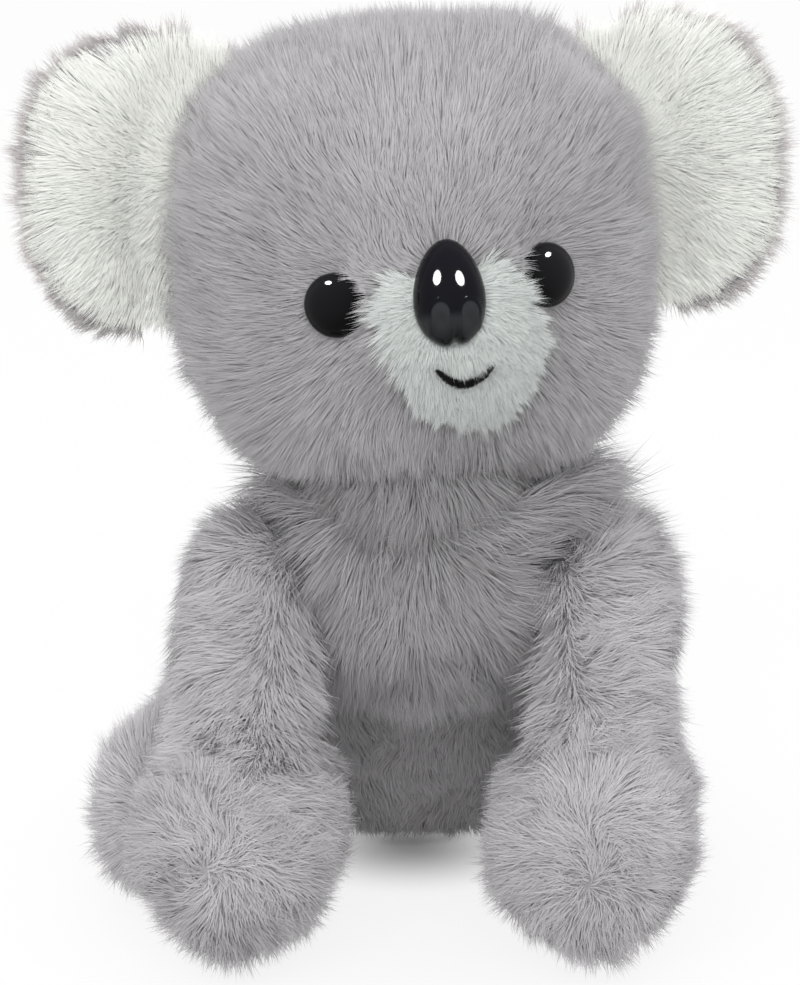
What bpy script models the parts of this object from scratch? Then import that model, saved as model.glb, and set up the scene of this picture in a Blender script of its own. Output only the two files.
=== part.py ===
"""A plush koala sitting up, with its front legs straight in front of it.

The toy is sewn from pile fabric and stuffed. Each skin is a shell as thick as
the backing and its brushed pile together, so its outside is where the pile's
surface lies on average. Fibre stuffing fills each shell. The frame has its
origin at the centre of the flat seat, +Z up, and the koala looks along -Y.
"""

import math

import bmesh
import bpy
import numpy as np
from mathutils import Euler, Matrix, Vector

# Whole toy
TOTAL_HEIGHT = 0.200
SKIN_THICKNESS = 0.0055
SEAM_GAP = 0.0003
JOINT_GAP = 0.0005
SETTLE_DEPTH = 0.0005
OVERRUN = 0.004

# Head, in a frame of its own whose origin is the head's centre
HEAD_HALF_WIDTH = 0.051
HEAD_HALF_DEPTH = 0.0465
HEAD_HALF_HEIGHT = 0.0505
HEAD_SQUARENESS = 2.8
HEAD_FORWARD = 0.064
HEAD_TURN = math.radians(7.5)
HEAD_TILT = math.radians(3.0)
CHIN_HEIGHT = TOTAL_HEIGHT - 2 * HEAD_HALF_HEIGHT

# Muzzle and mouth
MUZZLE_HALF_WIDTH = 0.0180
MUZZLE_HALF_HEIGHT = 0.0183
MUZZLE_ASIDE = 0.0036
MUZZLE_ABOVE_CHIN = 0.0214
MUZZLE_DROP = HEAD_HALF_HEIGHT - MUZZLE_HALF_HEIGHT - MUZZLE_ABOVE_CHIN
MUZZLE_RISE = 0.0060
MUZZLE_SQUARENESS = 2.3
MOUTH_HALF_WIDTH = 0.0056
MOUTH_SAG = 0.0034
MOUTH_DROP = 0.0150
MOUTH_ASIDE = 0.0030
MOUTH_THREAD_RADIUS = 0.0008

# Safety eyes and nose
EYE_RADIUS = 0.0066
EYE_RISE = 0.0052
EYE_ASIDE = 0.0228
EYE_UP = 0.0003
EYE_UNEVEN = 0.0018
EYE_SHANK_RADIUS = 0.0022
NOSE_HALF_WIDTH = 0.0077
NOSE_HALF_HEIGHT = 0.0108
NOSE_RISE = 0.0085
NOSE_UP = 0.0012
NOSE_TAPER = 0.26
NOSE_SHANK_RADIUS = 0.0026
FACE_FLANGE = 0.0012
SHANK_LENGTH = 0.0130
WASHER_THICKNESS = 0.0016
EYE_WASHER_RADIUS = 0.0058
NOSE_WASHER_RADIUS = 0.0068
BACKING_THICKNESS = 0.0012

# Ears
EAR_HALF_WIDTH = 0.0310
EAR_HALF_HEIGHT = 0.0350
EAR_OUT = 0.0530
EAR_DROP = 0.0357
EAR_UP = HEAD_HALF_HEIGHT - EAR_DROP
EAR_BACK = 0.0060
EAR_HALF_THICKNESS = 0.0068
EAR_ROOT_HALF_THICKNESS = 0.0012
EAR_SWELL_LENGTH = 0.0170
EAR_RIM = 0.0062
EAR_CUP = 0.0040
EAR_ROOT_GAP = 0.0007
EAR_SQUARENESS = 2.5
EAR_UNEVEN = 0.0030
EAR_SEAM_HALF_LENGTH = 0.0285
EAR_SEAM_DROP = 0.0028

# Neck: a ball whose middle lies above the chin's level
NECK_SINK = 0.005
NECK_HEIGHT = CHIN_HEIGHT + NECK_SINK
NECK_RADIUS = 0.020

# Torso: level sections from the seat up, half widths and half depths
HEAD_SINK = 0.011
TORSO_HEIGHT = CHIN_HEIGHT + HEAD_SINK
TORSO_HALF_WIDTH = 0.042
TORSO_HALF_DEPTH = 0.035
BODY_SEAM_BACK = 0.014
BODY_SEAM_LEAN = math.radians(33.0)
TORSO_LEVEL_SHARES = (0.0, 0.006, 0.05, 0.13, 0.24, 0.36, 0.48, 0.60, 0.71, 0.81, 0.90, 0.965, 1.0)
TORSO_WIDTH_SHARES = (0.30, 0.56, 0.80, 0.92, 0.98, 1.0, 1.0, 1.0, 1.0, 1.0, 0.97, 0.83, 0.42)
TORSO_DEPTH_SHARES = (0.27, 0.48, 0.70, 0.84, 0.94, 1.0, 1.02, 1.03, 0.98, 0.90, 0.80, 0.62, 0.30)
TORSO_FORWARD_SHARES = (0.0, 0.0, 0.02, 0.07, 0.17, 0.31, 0.48, 0.65, 0.76, 0.83, 0.88, 0.90, 0.91)
TORSO_ASIDE_SHARES = (0.0, 0.0, 0.0, 0.05, 0.2, 0.4, 0.65, 0.85, 0.97, 1.1, 1.3, 1.5, 1.5)
SHOULDERS_ASIDE = 0.0035

# The hollow between the shoulders that the head nods and turns in
HEAD_ROOM_HALF_WIDTH = 0.060
HEAD_ROOM_HALF_HEIGHT = 0.0513
HEAD_ROOM_DROP = 0.0035
HEAD_ROOM_HEIGHT = CHIN_HEIGHT + HEAD_HALF_HEIGHT - HEAD_ROOM_DROP
HEAD_ROOM_BACK = 0.001

# Pellet bag in the seat
PELLET_HALF_WIDTH = 0.022
PELLET_HALF_DEPTH = 0.017
PELLET_HALF_HEIGHT = 0.009

# Front legs: a shoulder ball, an arm and a round paw
SHOULDER_OUT = 0.0380
SHOULDER_FORWARD = 0.0660
SHOULDER_DROP = 0.0210
SHOULDER_HEIGHT = CHIN_HEIGHT - SHOULDER_DROP
SHOULDER_RADIUS = 0.0172
CHEST_HALF_WIDTH = 0.0220
PAW_OUT = 0.0373
PAW_FORWARD = 0.0965
PAW_HALF_WIDTH = 0.0232
PAW_HALF_HEIGHT = 0.0228
PAW_LENGTH = 0.0235
ARM_HALF_WIDTH = 0.0175
ARM_FLAT_RADIUS = 0.0400
ARM_ROOM_SPREAD = math.radians(2.0)
FRONT_SWING_UP = math.radians(50.0)

# Hind legs: a haunch and a rounded foot that points forward
HIP_OUT = 0.0440
HIP_BACK = -0.0040
HIP_RADIUS = 0.0250
HIP_INNER = 0.0330
HAUNCH_HALF_WIDTH = 0.0150
ANKLE_HALF_WIDTH = 0.0142
ANKLE_HALF_HEIGHT = 0.0195
HIP_HINGE_BACK = 0.0160
FOOT_OUT = 0.0590
FOOT_FORWARD = 0.0565
FOOT_HALF_WIDTH = 0.0155
FOOT_HALF_HEIGHT = 0.0232
FOOT_LENGTH = 0.0160
FOOT_TUCK_IN = 0.0125
FOOT_TUCK_BACK = 0.0065
HAUNCH_FLAT_RADIUS = 0.0600

# Openings left in the limbs' skins where they are sewn on
SHOULDER_OPENING_RADIUS = 0.0075
HIP_OPENING_RADIUS = 0.0120

# Facets: how many go around a form, and how many lie along it
AROUND = 24
SMALL_AROUND = 14
FINE_HEAD = (28, 16)
PLAIN_HEAD = (18, 10)
FINE_TORSO = (28, 1)
PLAIN_TORSO = (18, 1)
FINE_LIMB = (20, 4)
PLAIN_LIMB = (14, 3)
FLAT_ANGLE = math.radians(0.3)

# Places that follow from the sizes
HEAD_CENTRE = Vector((0.0, -HEAD_FORWARD, TOTAL_HEIGHT - HEAD_HALF_HEIGHT))
NECK_PIVOT = Vector((0.0, -HEAD_FORWARD, NECK_HEIGHT))
FLOOR_REACH = 2.0 * TOTAL_HEIGHT
SIDES = {"left": -1.0, "right": 1.0}


def clear_scene():
    """Starts from an empty scene."""
    for thing in list(bpy.data.objects):
        bpy.data.objects.remove(thing, do_unlink=True)


def make_material(name, colour, roughness):
    """A Principled material of one colour."""
    material = bpy.data.materials.new(name)
    material.use_nodes = True
    shader = material.node_tree.nodes["Principled BSDF"]
    shader.inputs["Base Color"].default_value = (*colour, 1.0)
    shader.inputs["Roughness"].default_value = roughness
    shader.inputs["Metallic"].default_value = 0.0
    material.diffuse_color = (*colour, 1.0)
    return material


def make_materials():
    """The toy's fabrics, plastics and fillings."""
    return {
        "grey_pile": make_material("grey_pile", (0.39, 0.38, 0.39), 0.95),
        "white_pile": make_material("white_pile", (0.76, 0.78, 0.76), 0.95),
        "black_plastic": make_material("black_plastic", (0.008, 0.008, 0.009), 0.12),
        "washer_plastic": make_material("washer_plastic", (0.75, 0.75, 0.72), 0.45),
        "black_thread": make_material("black_thread", (0.01, 0.01, 0.01), 0.7),
        "fibre_filling": make_material("fibre_filling", (0.85, 0.85, 0.83), 0.98),
        "pellet_cloth": make_material("pellet_cloth", (0.70, 0.68, 0.62), 0.9),
    }


def smooth_rows(rows, steps):
    """Puts steps - 1 rows between each two, on a Catmull-Rom curve through them all."""
    rows = np.asarray(rows, float)
    padded = np.vstack([2 * rows[0] - rows[1], rows, 2 * rows[-1] - rows[-2]])
    before, here, there, after = padded[:-3], padded[1:-2], padded[2:-1], padded[3:]
    share = np.linspace(0.0, 1.0, steps, endpoint=False)[:, None, None]
    bend = 2 * here + (there - before) * share
    bend = bend + (2 * before - 5 * here + 4 * there - after) * share**2
    bend = bend + (3 * here - before - 3 * there + after) * share**3
    between = (bend / 2).transpose(1, 0, 2).reshape(-1, rows.shape[1])
    return np.vstack([between, rows[-1]])


def closed_rings(first, rings, last):
    """Points and faces of rings of equal length, closed at each end by a fan to one point."""
    count, around = rings.shape[:2]
    points = np.vstack([np.reshape(first, (1, 3)), rings.reshape(-1, 3), np.reshape(last, (1, 3))])
    here = np.arange(around)
    beside = (here + 1) % around
    faces = [(0, 1 + b, 1 + a) for a, b in zip(here, beside)]
    for ring in range(count - 1):
        low, high = 1 + ring * around, 1 + (ring + 1) * around
        faces += [(low + a, low + b, high + b, high + a) for a, b in zip(here, beside)]
    top, end = 1 + (count - 1) * around, len(points) - 1
    faces += [(end, top + a, top + b) for a, b in zip(here, beside)]
    return points, faces


def make_mesh(name, points, faces):
    """A mesh object of triangles, which stay flat when they are cut, turned outwards."""
    mesh = bpy.data.meshes.new(name)
    mesh.from_pydata([tuple(point) for point in points], [], [tuple(map(int, face)) for face in faces])
    shape = bmesh.new()
    shape.from_mesh(mesh)
    bmesh.ops.triangulate(shape, faces=shape.faces)
    bmesh.ops.recalc_face_normals(shape, faces=shape.faces)
    if shape.calc_volume(signed=True) < 0:
        bmesh.ops.reverse_faces(shape, faces=shape.faces)
    shape.to_mesh(mesh)
    shape.free()
    thing = bpy.data.objects.new(name, mesh)
    bpy.context.scene.collection.objects.link(thing)
    return thing


def grown(thing, distance):
    """Moves each point of a form along its normal, inwards if negative."""
    normals = np.empty(len(thing.data.vertices) * 3, np.float32)
    thing.data.vertex_normals.foreach_get("vector", normals)
    points = np.empty_like(normals)
    thing.data.vertices.foreach_get("co", points)
    thing.data.vertices.foreach_set("co", points + distance * normals)
    thing.data.update()
    return thing


def twin(thing):
    """A copy of a piece with a mesh of its own."""
    copy = thing.copy()
    copy.data = thing.data.copy()
    bpy.context.scene.collection.objects.link(copy)
    return copy


def combine(base, tool, operation):
    """Applies one exact Boolean to base, and removes the tool."""
    modifier = base.modifiers.new(operation.lower(), "BOOLEAN")
    modifier.operation = operation
    modifier.object = tool
    bpy.context.view_layer.update()
    graph = bpy.context.evaluated_depsgraph_get()
    result = bpy.data.meshes.new_from_object(base.evaluated_get(graph))
    shape = bmesh.new()
    shape.from_mesh(result)
    bmesh.ops.triangulate(shape, faces=shape.faces)
    shape.to_mesh(result)
    shape.free()
    base.modifiers.clear()
    base.data = result
    bpy.data.objects.remove(tool, do_unlink=True)
    return base


def cut(base, tool):
    return combine(base, tool, "DIFFERENCE")


def box(low, high):
    """A closed box between two corners."""
    corners = [(x, y, z) for x in (low[0], high[0]) for y in (low[1], high[1]) for z in (low[2], high[2])]
    faces = [(0, 1, 3, 2), (4, 6, 7, 5), (0, 4, 5, 1), (2, 3, 7, 6), (0, 2, 6, 4), (1, 5, 7, 3)]
    return make_mesh("box", corners, faces)


def prism(outline, base, along, length):
    """An outline of points on two axes, extruded along the third from base by length."""
    outline = np.asarray(outline, float)
    first, second = [axis for axis in range(3) if axis != along]
    low = np.zeros((len(outline), 3))
    low[:, first], low[:, second], low[:, along] = outline[:, 0], outline[:, 1], base
    high = low.copy()
    high[:, along] = base + length
    count = len(outline)
    faces = [tuple(range(count)), tuple(range(2 * count - 1, count - 1, -1))]
    faces += [(i, (i + 1) % count, count + (i + 1) % count, count + i) for i in range(count)]
    return make_mesh("prism", np.vstack([low, high]), faces)


def ellipsoid(radii, centre, around=AROUND, rings=12):
    """An ellipsoid with its poles along Z."""
    tilt = np.linspace(0.0, math.pi, rings + 1)[1:-1, None]
    turn = np.linspace(0.0, 2 * math.pi, around, endpoint=False)[None, :]
    level = np.cos(tilt) + 0 * turn
    unit = np.stack([np.sin(tilt) * np.cos(turn), np.sin(tilt) * np.sin(turn), level], axis=-1)
    rings_of_points = unit * np.asarray(radii) + np.asarray(centre)
    top = np.asarray(centre) + np.array([0.0, 0.0, radii[2]])
    bottom = np.asarray(centre) - np.array([0.0, 0.0, radii[2]])
    return make_mesh("ellipsoid", *closed_rings(top, rings_of_points, bottom))


def rod(radius, start, end, around=SMALL_AROUND):
    """A round rod between two points."""
    start, end = Vector(start), Vector(end)
    turn = np.linspace(0.0, 2 * math.pi, around, endpoint=False)
    ring = np.stack([radius * np.cos(turn), radius * np.sin(turn), np.zeros(around)], axis=-1)
    spin = np.array((end - start).to_track_quat("Z", "Y").to_matrix())
    rings = np.stack([ring @ spin.T + np.array(start), ring @ spin.T + np.array(end)])
    return make_mesh("rod", *closed_rings(np.array(start), rings, np.array(end)))


def level_floor(thing):
    """Cuts a form off at the surface that the toy sits on."""
    corner = (-FLOOR_REACH, -FLOOR_REACH, -FLOOR_REACH)
    return cut(thing, box(corner, (FLOOR_REACH, FLOOR_REACH, 0.0)))


def head_reach(x, y, z):
    """1 on the head's surface, less inside: square-shouldered from the front, round in profile."""
    front = np.abs(x / HEAD_HALF_WIDTH) ** HEAD_SQUARENESS + np.abs(z / HEAD_HALF_HEIGHT) ** HEAD_SQUARENESS
    return np.sqrt(front ** (2.0 / HEAD_SQUARENESS) + (y / HEAD_HALF_DEPTH) ** 2)


def muzzle_swell(x, z):
    """How far the muzzle swells in front of the head at a place on the face."""
    across = (x - MUZZLE_ASIDE) / MUZZLE_HALF_WIDTH
    up = (z + MUZZLE_DROP) / MUZZLE_HALF_HEIGHT
    return MUZZLE_RISE * np.exp(-((across**2 + up**2) ** 1.5))


def head_form(facets, margin=0.0):
    """The head as rings about the line from the face to the nape, grown by a margin."""
    around, count = facets
    tilt = np.linspace(0.0, math.pi, count + 1)[:, None]
    turn = np.linspace(0.0, 2 * math.pi, around, endpoint=False)[None, :]
    x, y, z = np.sin(tilt) * np.cos(turn), -np.cos(tilt) + 0 * turn, np.sin(tilt) * np.sin(turn)
    points = np.stack([x, y, z], axis=-1) / head_reach(x, y, z)[..., None]
    points[..., 1] -= np.where(y < 0, muzzle_swell(points[..., 0], points[..., 2]), 0.0)
    return grown(make_mesh("head", *closed_rings(points[0, 0], points[1:-1], points[-1, 0])), margin)


def face_depth(x, z):
    """The y of the face's surface at a place seen from the front."""
    front = abs(x / HEAD_HALF_WIDTH) ** HEAD_SQUARENESS + abs(z / HEAD_HALF_HEIGHT) ** HEAD_SQUARENESS
    inside = max(0.0, 1.0 - front ** (2.0 / HEAD_SQUARENESS))
    return -HEAD_HALF_DEPTH * math.sqrt(inside) - float(muzzle_swell(x, z))


def face_place(x, z):
    """A point on the face and the outward normal there."""
    step = EYE_SHANK_RADIUS
    right = Vector((2 * step, face_depth(x + step, z) - face_depth(x - step, z), 0.0))
    up = Vector((0.0, face_depth(x, z + step) - face_depth(x, z - step), 2 * step))
    return Vector((x, face_depth(x, z), z)), right.cross(up).normalized()


def muzzle_outline(margin):
    """The edge of the white muzzle patch, seen from the front."""
    turn = np.linspace(0.0, 2 * math.pi, AROUND, endpoint=False)
    reach = np.abs(np.cos(turn)) ** MUZZLE_SQUARENESS + np.abs(np.sin(turn)) ** MUZZLE_SQUARENESS
    reach = reach ** (-1.0 / MUZZLE_SQUARENESS)
    x = MUZZLE_ASIDE + (MUZZLE_HALF_WIDTH + margin) * reach * np.cos(turn)
    z = -MUZZLE_DROP + (MUZZLE_HALF_HEIGHT + margin) * reach * np.sin(turn)
    return np.stack([x, z], axis=-1)


def muzzle_block(margin):
    """A block in front of the head's middle with the muzzle's outline."""
    reach = HEAD_HALF_DEPTH + MUZZLE_RISE + OVERRUN
    return prism(muzzle_outline(margin), -reach, 1, reach)


def button_dome(half_width, half_height, rise, taper, flange):
    """A domed button facing +Z, with a flat back at 0, narrower towards +Y by its taper."""
    height = np.linspace(0.0, 1.0, 7)[:-1, None]
    turn = np.linspace(0.0, 2 * math.pi, SMALL_AROUND, endpoint=False)[None, :]
    reach = np.sqrt(1.0 - height**2)
    narrow = 1.0 - taper * (1.0 + np.sin(turn)) / 2.0 + taper / 4.0
    x = half_width * reach * np.cos(turn) * narrow
    y = half_height * reach * np.sin(turn) + 0 * narrow
    z = flange + (rise - flange) * height + 0 * turn
    base = np.stack([x[0], y[0], 0 * z[0]], axis=-1)[None]
    rings = np.concatenate([base, np.stack([x, y, z], axis=-1)])
    return closed_rings((0.0, 0.0, 0.0), rings, (0.0, 0.0, rise))


def facing(place, normal):
    """The matrix that stands a +Z part on the face with its +Y up."""
    z = normal.normalized()
    x = Vector((0.0, 0.0, 1.0)).cross(z).normalized()
    y = z.cross(x)
    return Matrix.Translation(place) @ Matrix((x, y, z)).transposed().to_4x4()


def placed(points, matrix):
    spin = np.array(matrix.to_3x3())
    return np.asarray(points) @ spin.T + np.array(matrix.translation)


class FaceButton:
    """A safety eye or nose: a dome whose shank goes through the backing into a washer."""

    def __init__(self, x, z, half_width, half_height, rise, taper, shank, washer):
        place, normal = face_place(x, z)
        seat = place - (SKIN_THICKNESS - BACKING_THICKNESS - SEAM_GAP) * normal
        self.matrix = facing(seat, normal)
        self.size = (half_width, half_height, rise, taper)
        self.shank, self.washer = shank, washer

    def dome(self, margin=0.0, rise=0.0):
        half_width, half_height, own_rise, taper = self.size
        flange = FACE_FLANGE + rise
        shape = button_dome(half_width + margin, half_height + margin, own_rise + rise, taper, flange)
        return make_mesh("dome", placed(shape[0], self.matrix), shape[1])

    def stick(self, radius, top, bottom):
        return rod(radius, self.matrix @ Vector((0, 0, top)), self.matrix @ Vector((0, 0, bottom)))

    def button(self):
        return combine(self.dome(), self.stick(self.shank, FACE_FLANGE / 2, -SHANK_LENGTH), "UNION")

    def washer_ring(self):
        """The washer lies under the backing, where the shank comes through."""
        top = -BACKING_THICKNESS - 2 * SEAM_GAP
        ring = self.stick(self.washer, top, top - WASHER_THICKNESS)
        hole = self.stick(self.shank + SEAM_GAP, top + OVERRUN, top - WASHER_THICKNESS - OVERRUN)
        return cut(ring, hole)

    def seat_room(self):
        """The room in the pile for the dome, and the hole in the backing for the shank."""
        hole = self.stick(self.shank + SEAM_GAP, FACE_FLANGE, -SHANK_LENGTH)
        return combine(self.dome(SEAM_GAP, SKIN_THICKNESS), hole, "UNION")

    def washer_room(self):
        """The room behind the backing for the washer."""
        return self.stick(self.washer + SEAM_GAP, -BACKING_THICKNESS - SEAM_GAP, -SHANK_LENGTH)

    def filling_room(self):
        """The room in the filling for the washer and the shank's end."""
        pocket_top = OVERRUN
        pocket_bottom = -BACKING_THICKNESS - WASHER_THICKNESS - 3 * SEAM_GAP
        pocket = self.stick(self.washer + SEAM_GAP, pocket_top, pocket_bottom)
        shaft = self.stick(self.shank + SEAM_GAP, pocket_top / 2, -SHANK_LENGTH - SEAM_GAP)
        return combine(pocket, shaft, "UNION")


def face_buttons():
    """The two eyes, one sewn a little higher than the other, and the nose."""
    eye = (EYE_RADIUS, EYE_RADIUS, EYE_RISE, 0.0, EYE_SHANK_RADIUS, EYE_WASHER_RADIUS)
    nose = (NOSE_HALF_WIDTH, NOSE_HALF_HEIGHT, NOSE_RISE, NOSE_TAPER, NOSE_SHANK_RADIUS, NOSE_WASHER_RADIUS)
    return {
        "left_eye": FaceButton(-EYE_ASIDE, EYE_UP - EYE_UNEVEN, *eye),
        "right_eye": FaceButton(EYE_ASIDE, EYE_UP + EYE_UNEVEN, *eye),
        "nose": FaceButton(0.0, NOSE_UP, *nose),
    }


def mouth_line(margin):
    """The stitched smile: a parabola laid on the muzzle's surface."""
    share = np.linspace(-1.0, 1.0, 11)
    points = []
    for x in share:
        across = MOUTH_ASIDE + MOUTH_HALF_WIDTH * x
        up = -MOUTH_DROP - MOUTH_SAG * (1.0 - x * x)
        place, normal = face_place(across, up)
        points.append(place + margin * normal)
    return points


def mouth_stitching():
    """Thick thread along the smile, standing its own gap off the pile."""
    points = mouth_line(MOUTH_THREAD_RADIUS + SEAM_GAP)
    turn = np.linspace(0.0, 2 * math.pi, 8, endpoint=False)
    rings = []
    for i, point in enumerate(points):
        ahead = (points[min(i + 1, len(points) - 1)] - points[max(i - 1, 0)]).normalized()
        side = ahead.cross(Vector((0.0, 1.0, 0.0))).normalized()
        over = side.cross(ahead)
        ring = [point + MOUTH_THREAD_RADIUS * (math.cos(a) * side + math.sin(a) * over) for a in turn]
        rings.append([tuple(p) for p in ring])
    return make_mesh("mouth", *closed_rings(tuple(points[0]), np.array(rings), tuple(points[-1])))


def neck_socket(centre, margin):
    radius = NECK_RADIUS + margin
    return ellipsoid((radius, radius, radius), tuple(centre))


def make_head():
    """The face and back panels, the muzzle, the face's buttons and the filling."""
    turn_back = Euler((0.0, -HEAD_TILT, HEAD_TURN)).to_matrix().inverted()
    pivot = turn_back @ (NECK_PIVOT - HEAD_CENTRE)
    skin = cut(head_form(FINE_HEAD), head_form(PLAIN_HEAD, -SKIN_THICKNESS))
    filling = head_form(PLAIN_HEAD, -SKIN_THICKNESS - SEAM_GAP)
    cut(skin, neck_socket(pivot, JOINT_GAP))
    cut(filling, neck_socket(pivot, JOINT_GAP))
    far = 2 * HEAD_HALF_WIDTH
    back = twin(skin)
    cut(back, box((-far, -far, -far), (far, EAR_BACK + SEAM_GAP / 2, far)))
    cut(skin, box((-far, EAR_BACK - SEAM_GAP / 2, -far), (far, far, far)))
    muzzle = combine(twin(skin), muzzle_block(0.0), "INTERSECT")
    cut(skin, muzzle_block(SEAM_GAP))
    pieces = {}
    for name, button in face_buttons().items():
        for piece in (skin, muzzle):
            cut(piece, button.seat_room())
            cut(piece, button.washer_room())
        cut(filling, button.filling_room())
        pieces[name] = (button.button(), "black_plastic")
        pieces[f"{name}_washer"] = (button.washer_ring(), "washer_plastic")
    pieces["mouth_stitching"] = (mouth_stitching(), "black_thread")
    pieces["head_face_panel"] = (skin, "grey_pile")
    pieces["head_back_panel"] = (back, "grey_pile")
    pieces["head_stuffing"] = (filling, "fibre_filling")
    pieces["muzzle_panel"] = (muzzle, "white_pile")
    return pieces


def ear_rise(side):
    """The height of an ear's middle above the head's; the left one is sewn on higher."""
    return EAR_UP + (EAR_UNEVEN if side < 0 else 0.0)


def ear_hinge(side):
    """The middle of an ear's seam on the head, and the seam's direction."""
    ends = []
    for reach in (-EAR_SEAM_HALF_LENGTH, EAR_SEAM_HALF_LENGTH):
        up = ear_rise(side) - EAR_SEAM_DROP + reach
        flat = 1.0 - abs(up / HEAD_HALF_HEIGHT) ** HEAD_SQUARENESS
        out = HEAD_HALF_WIDTH * flat ** (1.0 / HEAD_SQUARENESS)
        ends.append(Vector((side * out, EAR_BACK, up)))
    middle = (ends[0] + ends[1]) / 2
    reach = float(head_reach(middle.x, middle.y, middle.z))
    middle.x += side * ((1.0 - reach) * HEAD_HALF_WIDTH + EAR_ROOT_GAP)
    return middle, (ends[1] - ends[0]).normalized()


def ear_outline(side, inset):
    """An ear's edge seen from the front, as x and z."""
    turn = np.linspace(0.0, 2 * math.pi, AROUND, endpoint=False)
    reach = np.abs(np.cos(turn)) ** EAR_SQUARENESS + np.abs(np.sin(turn)) ** EAR_SQUARENESS
    reach = reach ** (-1.0 / EAR_SQUARENESS)
    x = EAR_OUT + (EAR_HALF_WIDTH - inset) * reach * np.cos(turn)
    z = ear_rise(side) + (EAR_HALF_HEIGHT - inset) * reach * np.sin(turn)
    return np.stack([side * x, z], axis=-1)


def ear_pad(side):
    """One whole ear: a pad with a cupped front, thin where it is sewn to the head."""
    centre = np.array([side * EAR_OUT, ear_rise(side)])
    shares = np.array([0.0, 0.35, 0.62, 0.82, 0.94, 1.0])[:, None, None]
    flat = centre + (ear_outline(side, 0.0) - centre)[None] * shares
    rings = []
    for face in (-1.0, 1.0):
        x, z = flat[..., 0], flat[..., 1]
        away = (head_reach(x, EAR_BACK, z) - 1.0) * HEAD_HALF_WIDTH / EAR_SWELL_LENGTH
        away = np.clip(away, 0.0, 1.0)
        swell = away * away * (3.0 - 2.0 * away)
        thick = EAR_ROOT_HALF_THICKNESS + (EAR_HALF_THICKNESS - EAR_ROOT_HALF_THICKNESS) * swell
        round_share = np.sqrt(np.clip(1.0 - shares[..., 0] ** 3, 0.0, 1.0))
        outward = np.clip((side * x - EAR_OUT) / EAR_HALF_WIDTH, 0.0, 1.0)
        y = EAR_BACK + face * thick * round_share - EAR_CUP * outward**2
        rings.append(np.stack([x, y, z], axis=-1))
    front, back = rings
    between = np.concatenate([front[1:], back[-2:0:-1]])
    return make_mesh("ear", *closed_rings(front[0, 0], between, back[0, 0]))


def make_ear(side):
    """The white front panel inside the rim of the grey back panel."""
    pad = ear_pad(side)
    cut(pad, head_form(FINE_HEAD, EAR_ROOT_GAP))
    front = twin(pad)
    deep = EAR_HALF_THICKNESS + EAR_CUP + OVERRUN
    for piece, margin, operation in ((front, 0.0, "INTERSECT"), (pad, SEAM_GAP, "DIFFERENCE")):
        outline = ear_outline(side, EAR_RIM - margin)
        middle = EAR_BACK - EAR_CUP / 4 + margin
        block = prism(outline, middle - deep, 1, deep)
        combine(piece, block, operation)
    return front, pad


def torso_form(facets, margin=0.0):
    """Level oval sections that swell from the seat and lean forward to the chest."""
    around, steps = facets
    sizes = (TORSO_LEVEL_SHARES, TORSO_WIDTH_SHARES, TORSO_DEPTH_SHARES)
    places = (TORSO_FORWARD_SHARES, TORSO_ASIDE_SHARES)
    rows = smooth_rows(np.array(sizes + places).T, steps)
    rise = TORSO_HEIGHT + SETTLE_DEPTH
    z = (rows[:, 0] * rise - SETTLE_DEPTH)[:, None]
    turn = np.linspace(0.0, 2 * math.pi, around, endpoint=False)[None, :]
    x = TORSO_HALF_WIDTH * rows[:, 1, None] * np.cos(turn) + SHOULDERS_ASIDE * rows[:, 4, None]
    y = TORSO_HALF_DEPTH * rows[:, 2, None] * np.sin(turn) - HEAD_FORWARD * rows[:, 3, None]
    rings = np.stack([x, y, z + 0 * turn], axis=-1)
    first = (0.0, 0.0, -SETTLE_DEPTH)
    top_aside = SHOULDERS_ASIDE * TORSO_ASIDE_SHARES[-1]
    last = (top_aside, -HEAD_FORWARD * TORSO_FORWARD_SHARES[-1], TORSO_HEIGHT)
    return grown(make_mesh("torso", *closed_rings(first, rings, last)), margin)


def swing_room(side, pivot, radius, angle_low, angle_high, plane):
    """Where a limb swings: a disc about its pivot, open towards the limb's reach.

    The angles are measured from straight down towards the front.
    """
    pivot = np.array(pivot)
    turn = np.linspace(angle_low, angle_high - math.pi, AROUND // 2)
    arc = pivot + radius * np.stack([np.cos(turn), -np.sin(turn)], axis=-1)
    far = [
        edge + FLOOR_REACH * np.array([-math.sin(angle), -math.cos(angle)])
        for edge, angle in ((arc[-1], angle_high), (arc[0], angle_low))
    ]
    outline = np.vstack([arc, far])
    return prism(outline, plane, 0, side * FLOOR_REACH)


def arm_angle():
    """The front leg's slope at rest, from straight down towards the front."""
    return math.atan2(PAW_FORWARD - SHOULDER_FORWARD, SHOULDER_HEIGHT - PAW_HALF_HEIGHT)


def limb_rooms(margin):
    """The rooms in the torso for the four limbs, each grown inwards by a margin."""
    for side in SIDES.values():
        yield swing_room(
            side,
            (-SHOULDER_FORWARD, SHOULDER_HEIGHT),
            SHOULDER_RADIUS + JOINT_GAP + margin,
            arm_angle() - ARM_ROOM_SPREAD,
            arm_angle() + FRONT_SWING_UP,
            SHOULDERS_ASIDE + side * (CHEST_HALF_WIDTH - margin),
        )
        yield swing_room(
            side,
            (HIP_BACK, HIP_RADIUS - SETTLE_DEPTH),
            HIP_RADIUS + JOINT_GAP + margin,
            math.pi / 2,
            math.pi / 2,
            side * (HIP_INNER - margin),
        )


def head_room(margin):
    """The bowl that clears the head's underside however it is turned, grown by a margin."""
    across = HEAD_ROOM_HALF_WIDTH + margin
    radii = (across, across, HEAD_ROOM_HALF_HEIGHT + margin)
    return ellipsoid(radii, (0.0, HEAD_ROOM_BACK - HEAD_FORWARD, HEAD_ROOM_HEIGHT))


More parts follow.
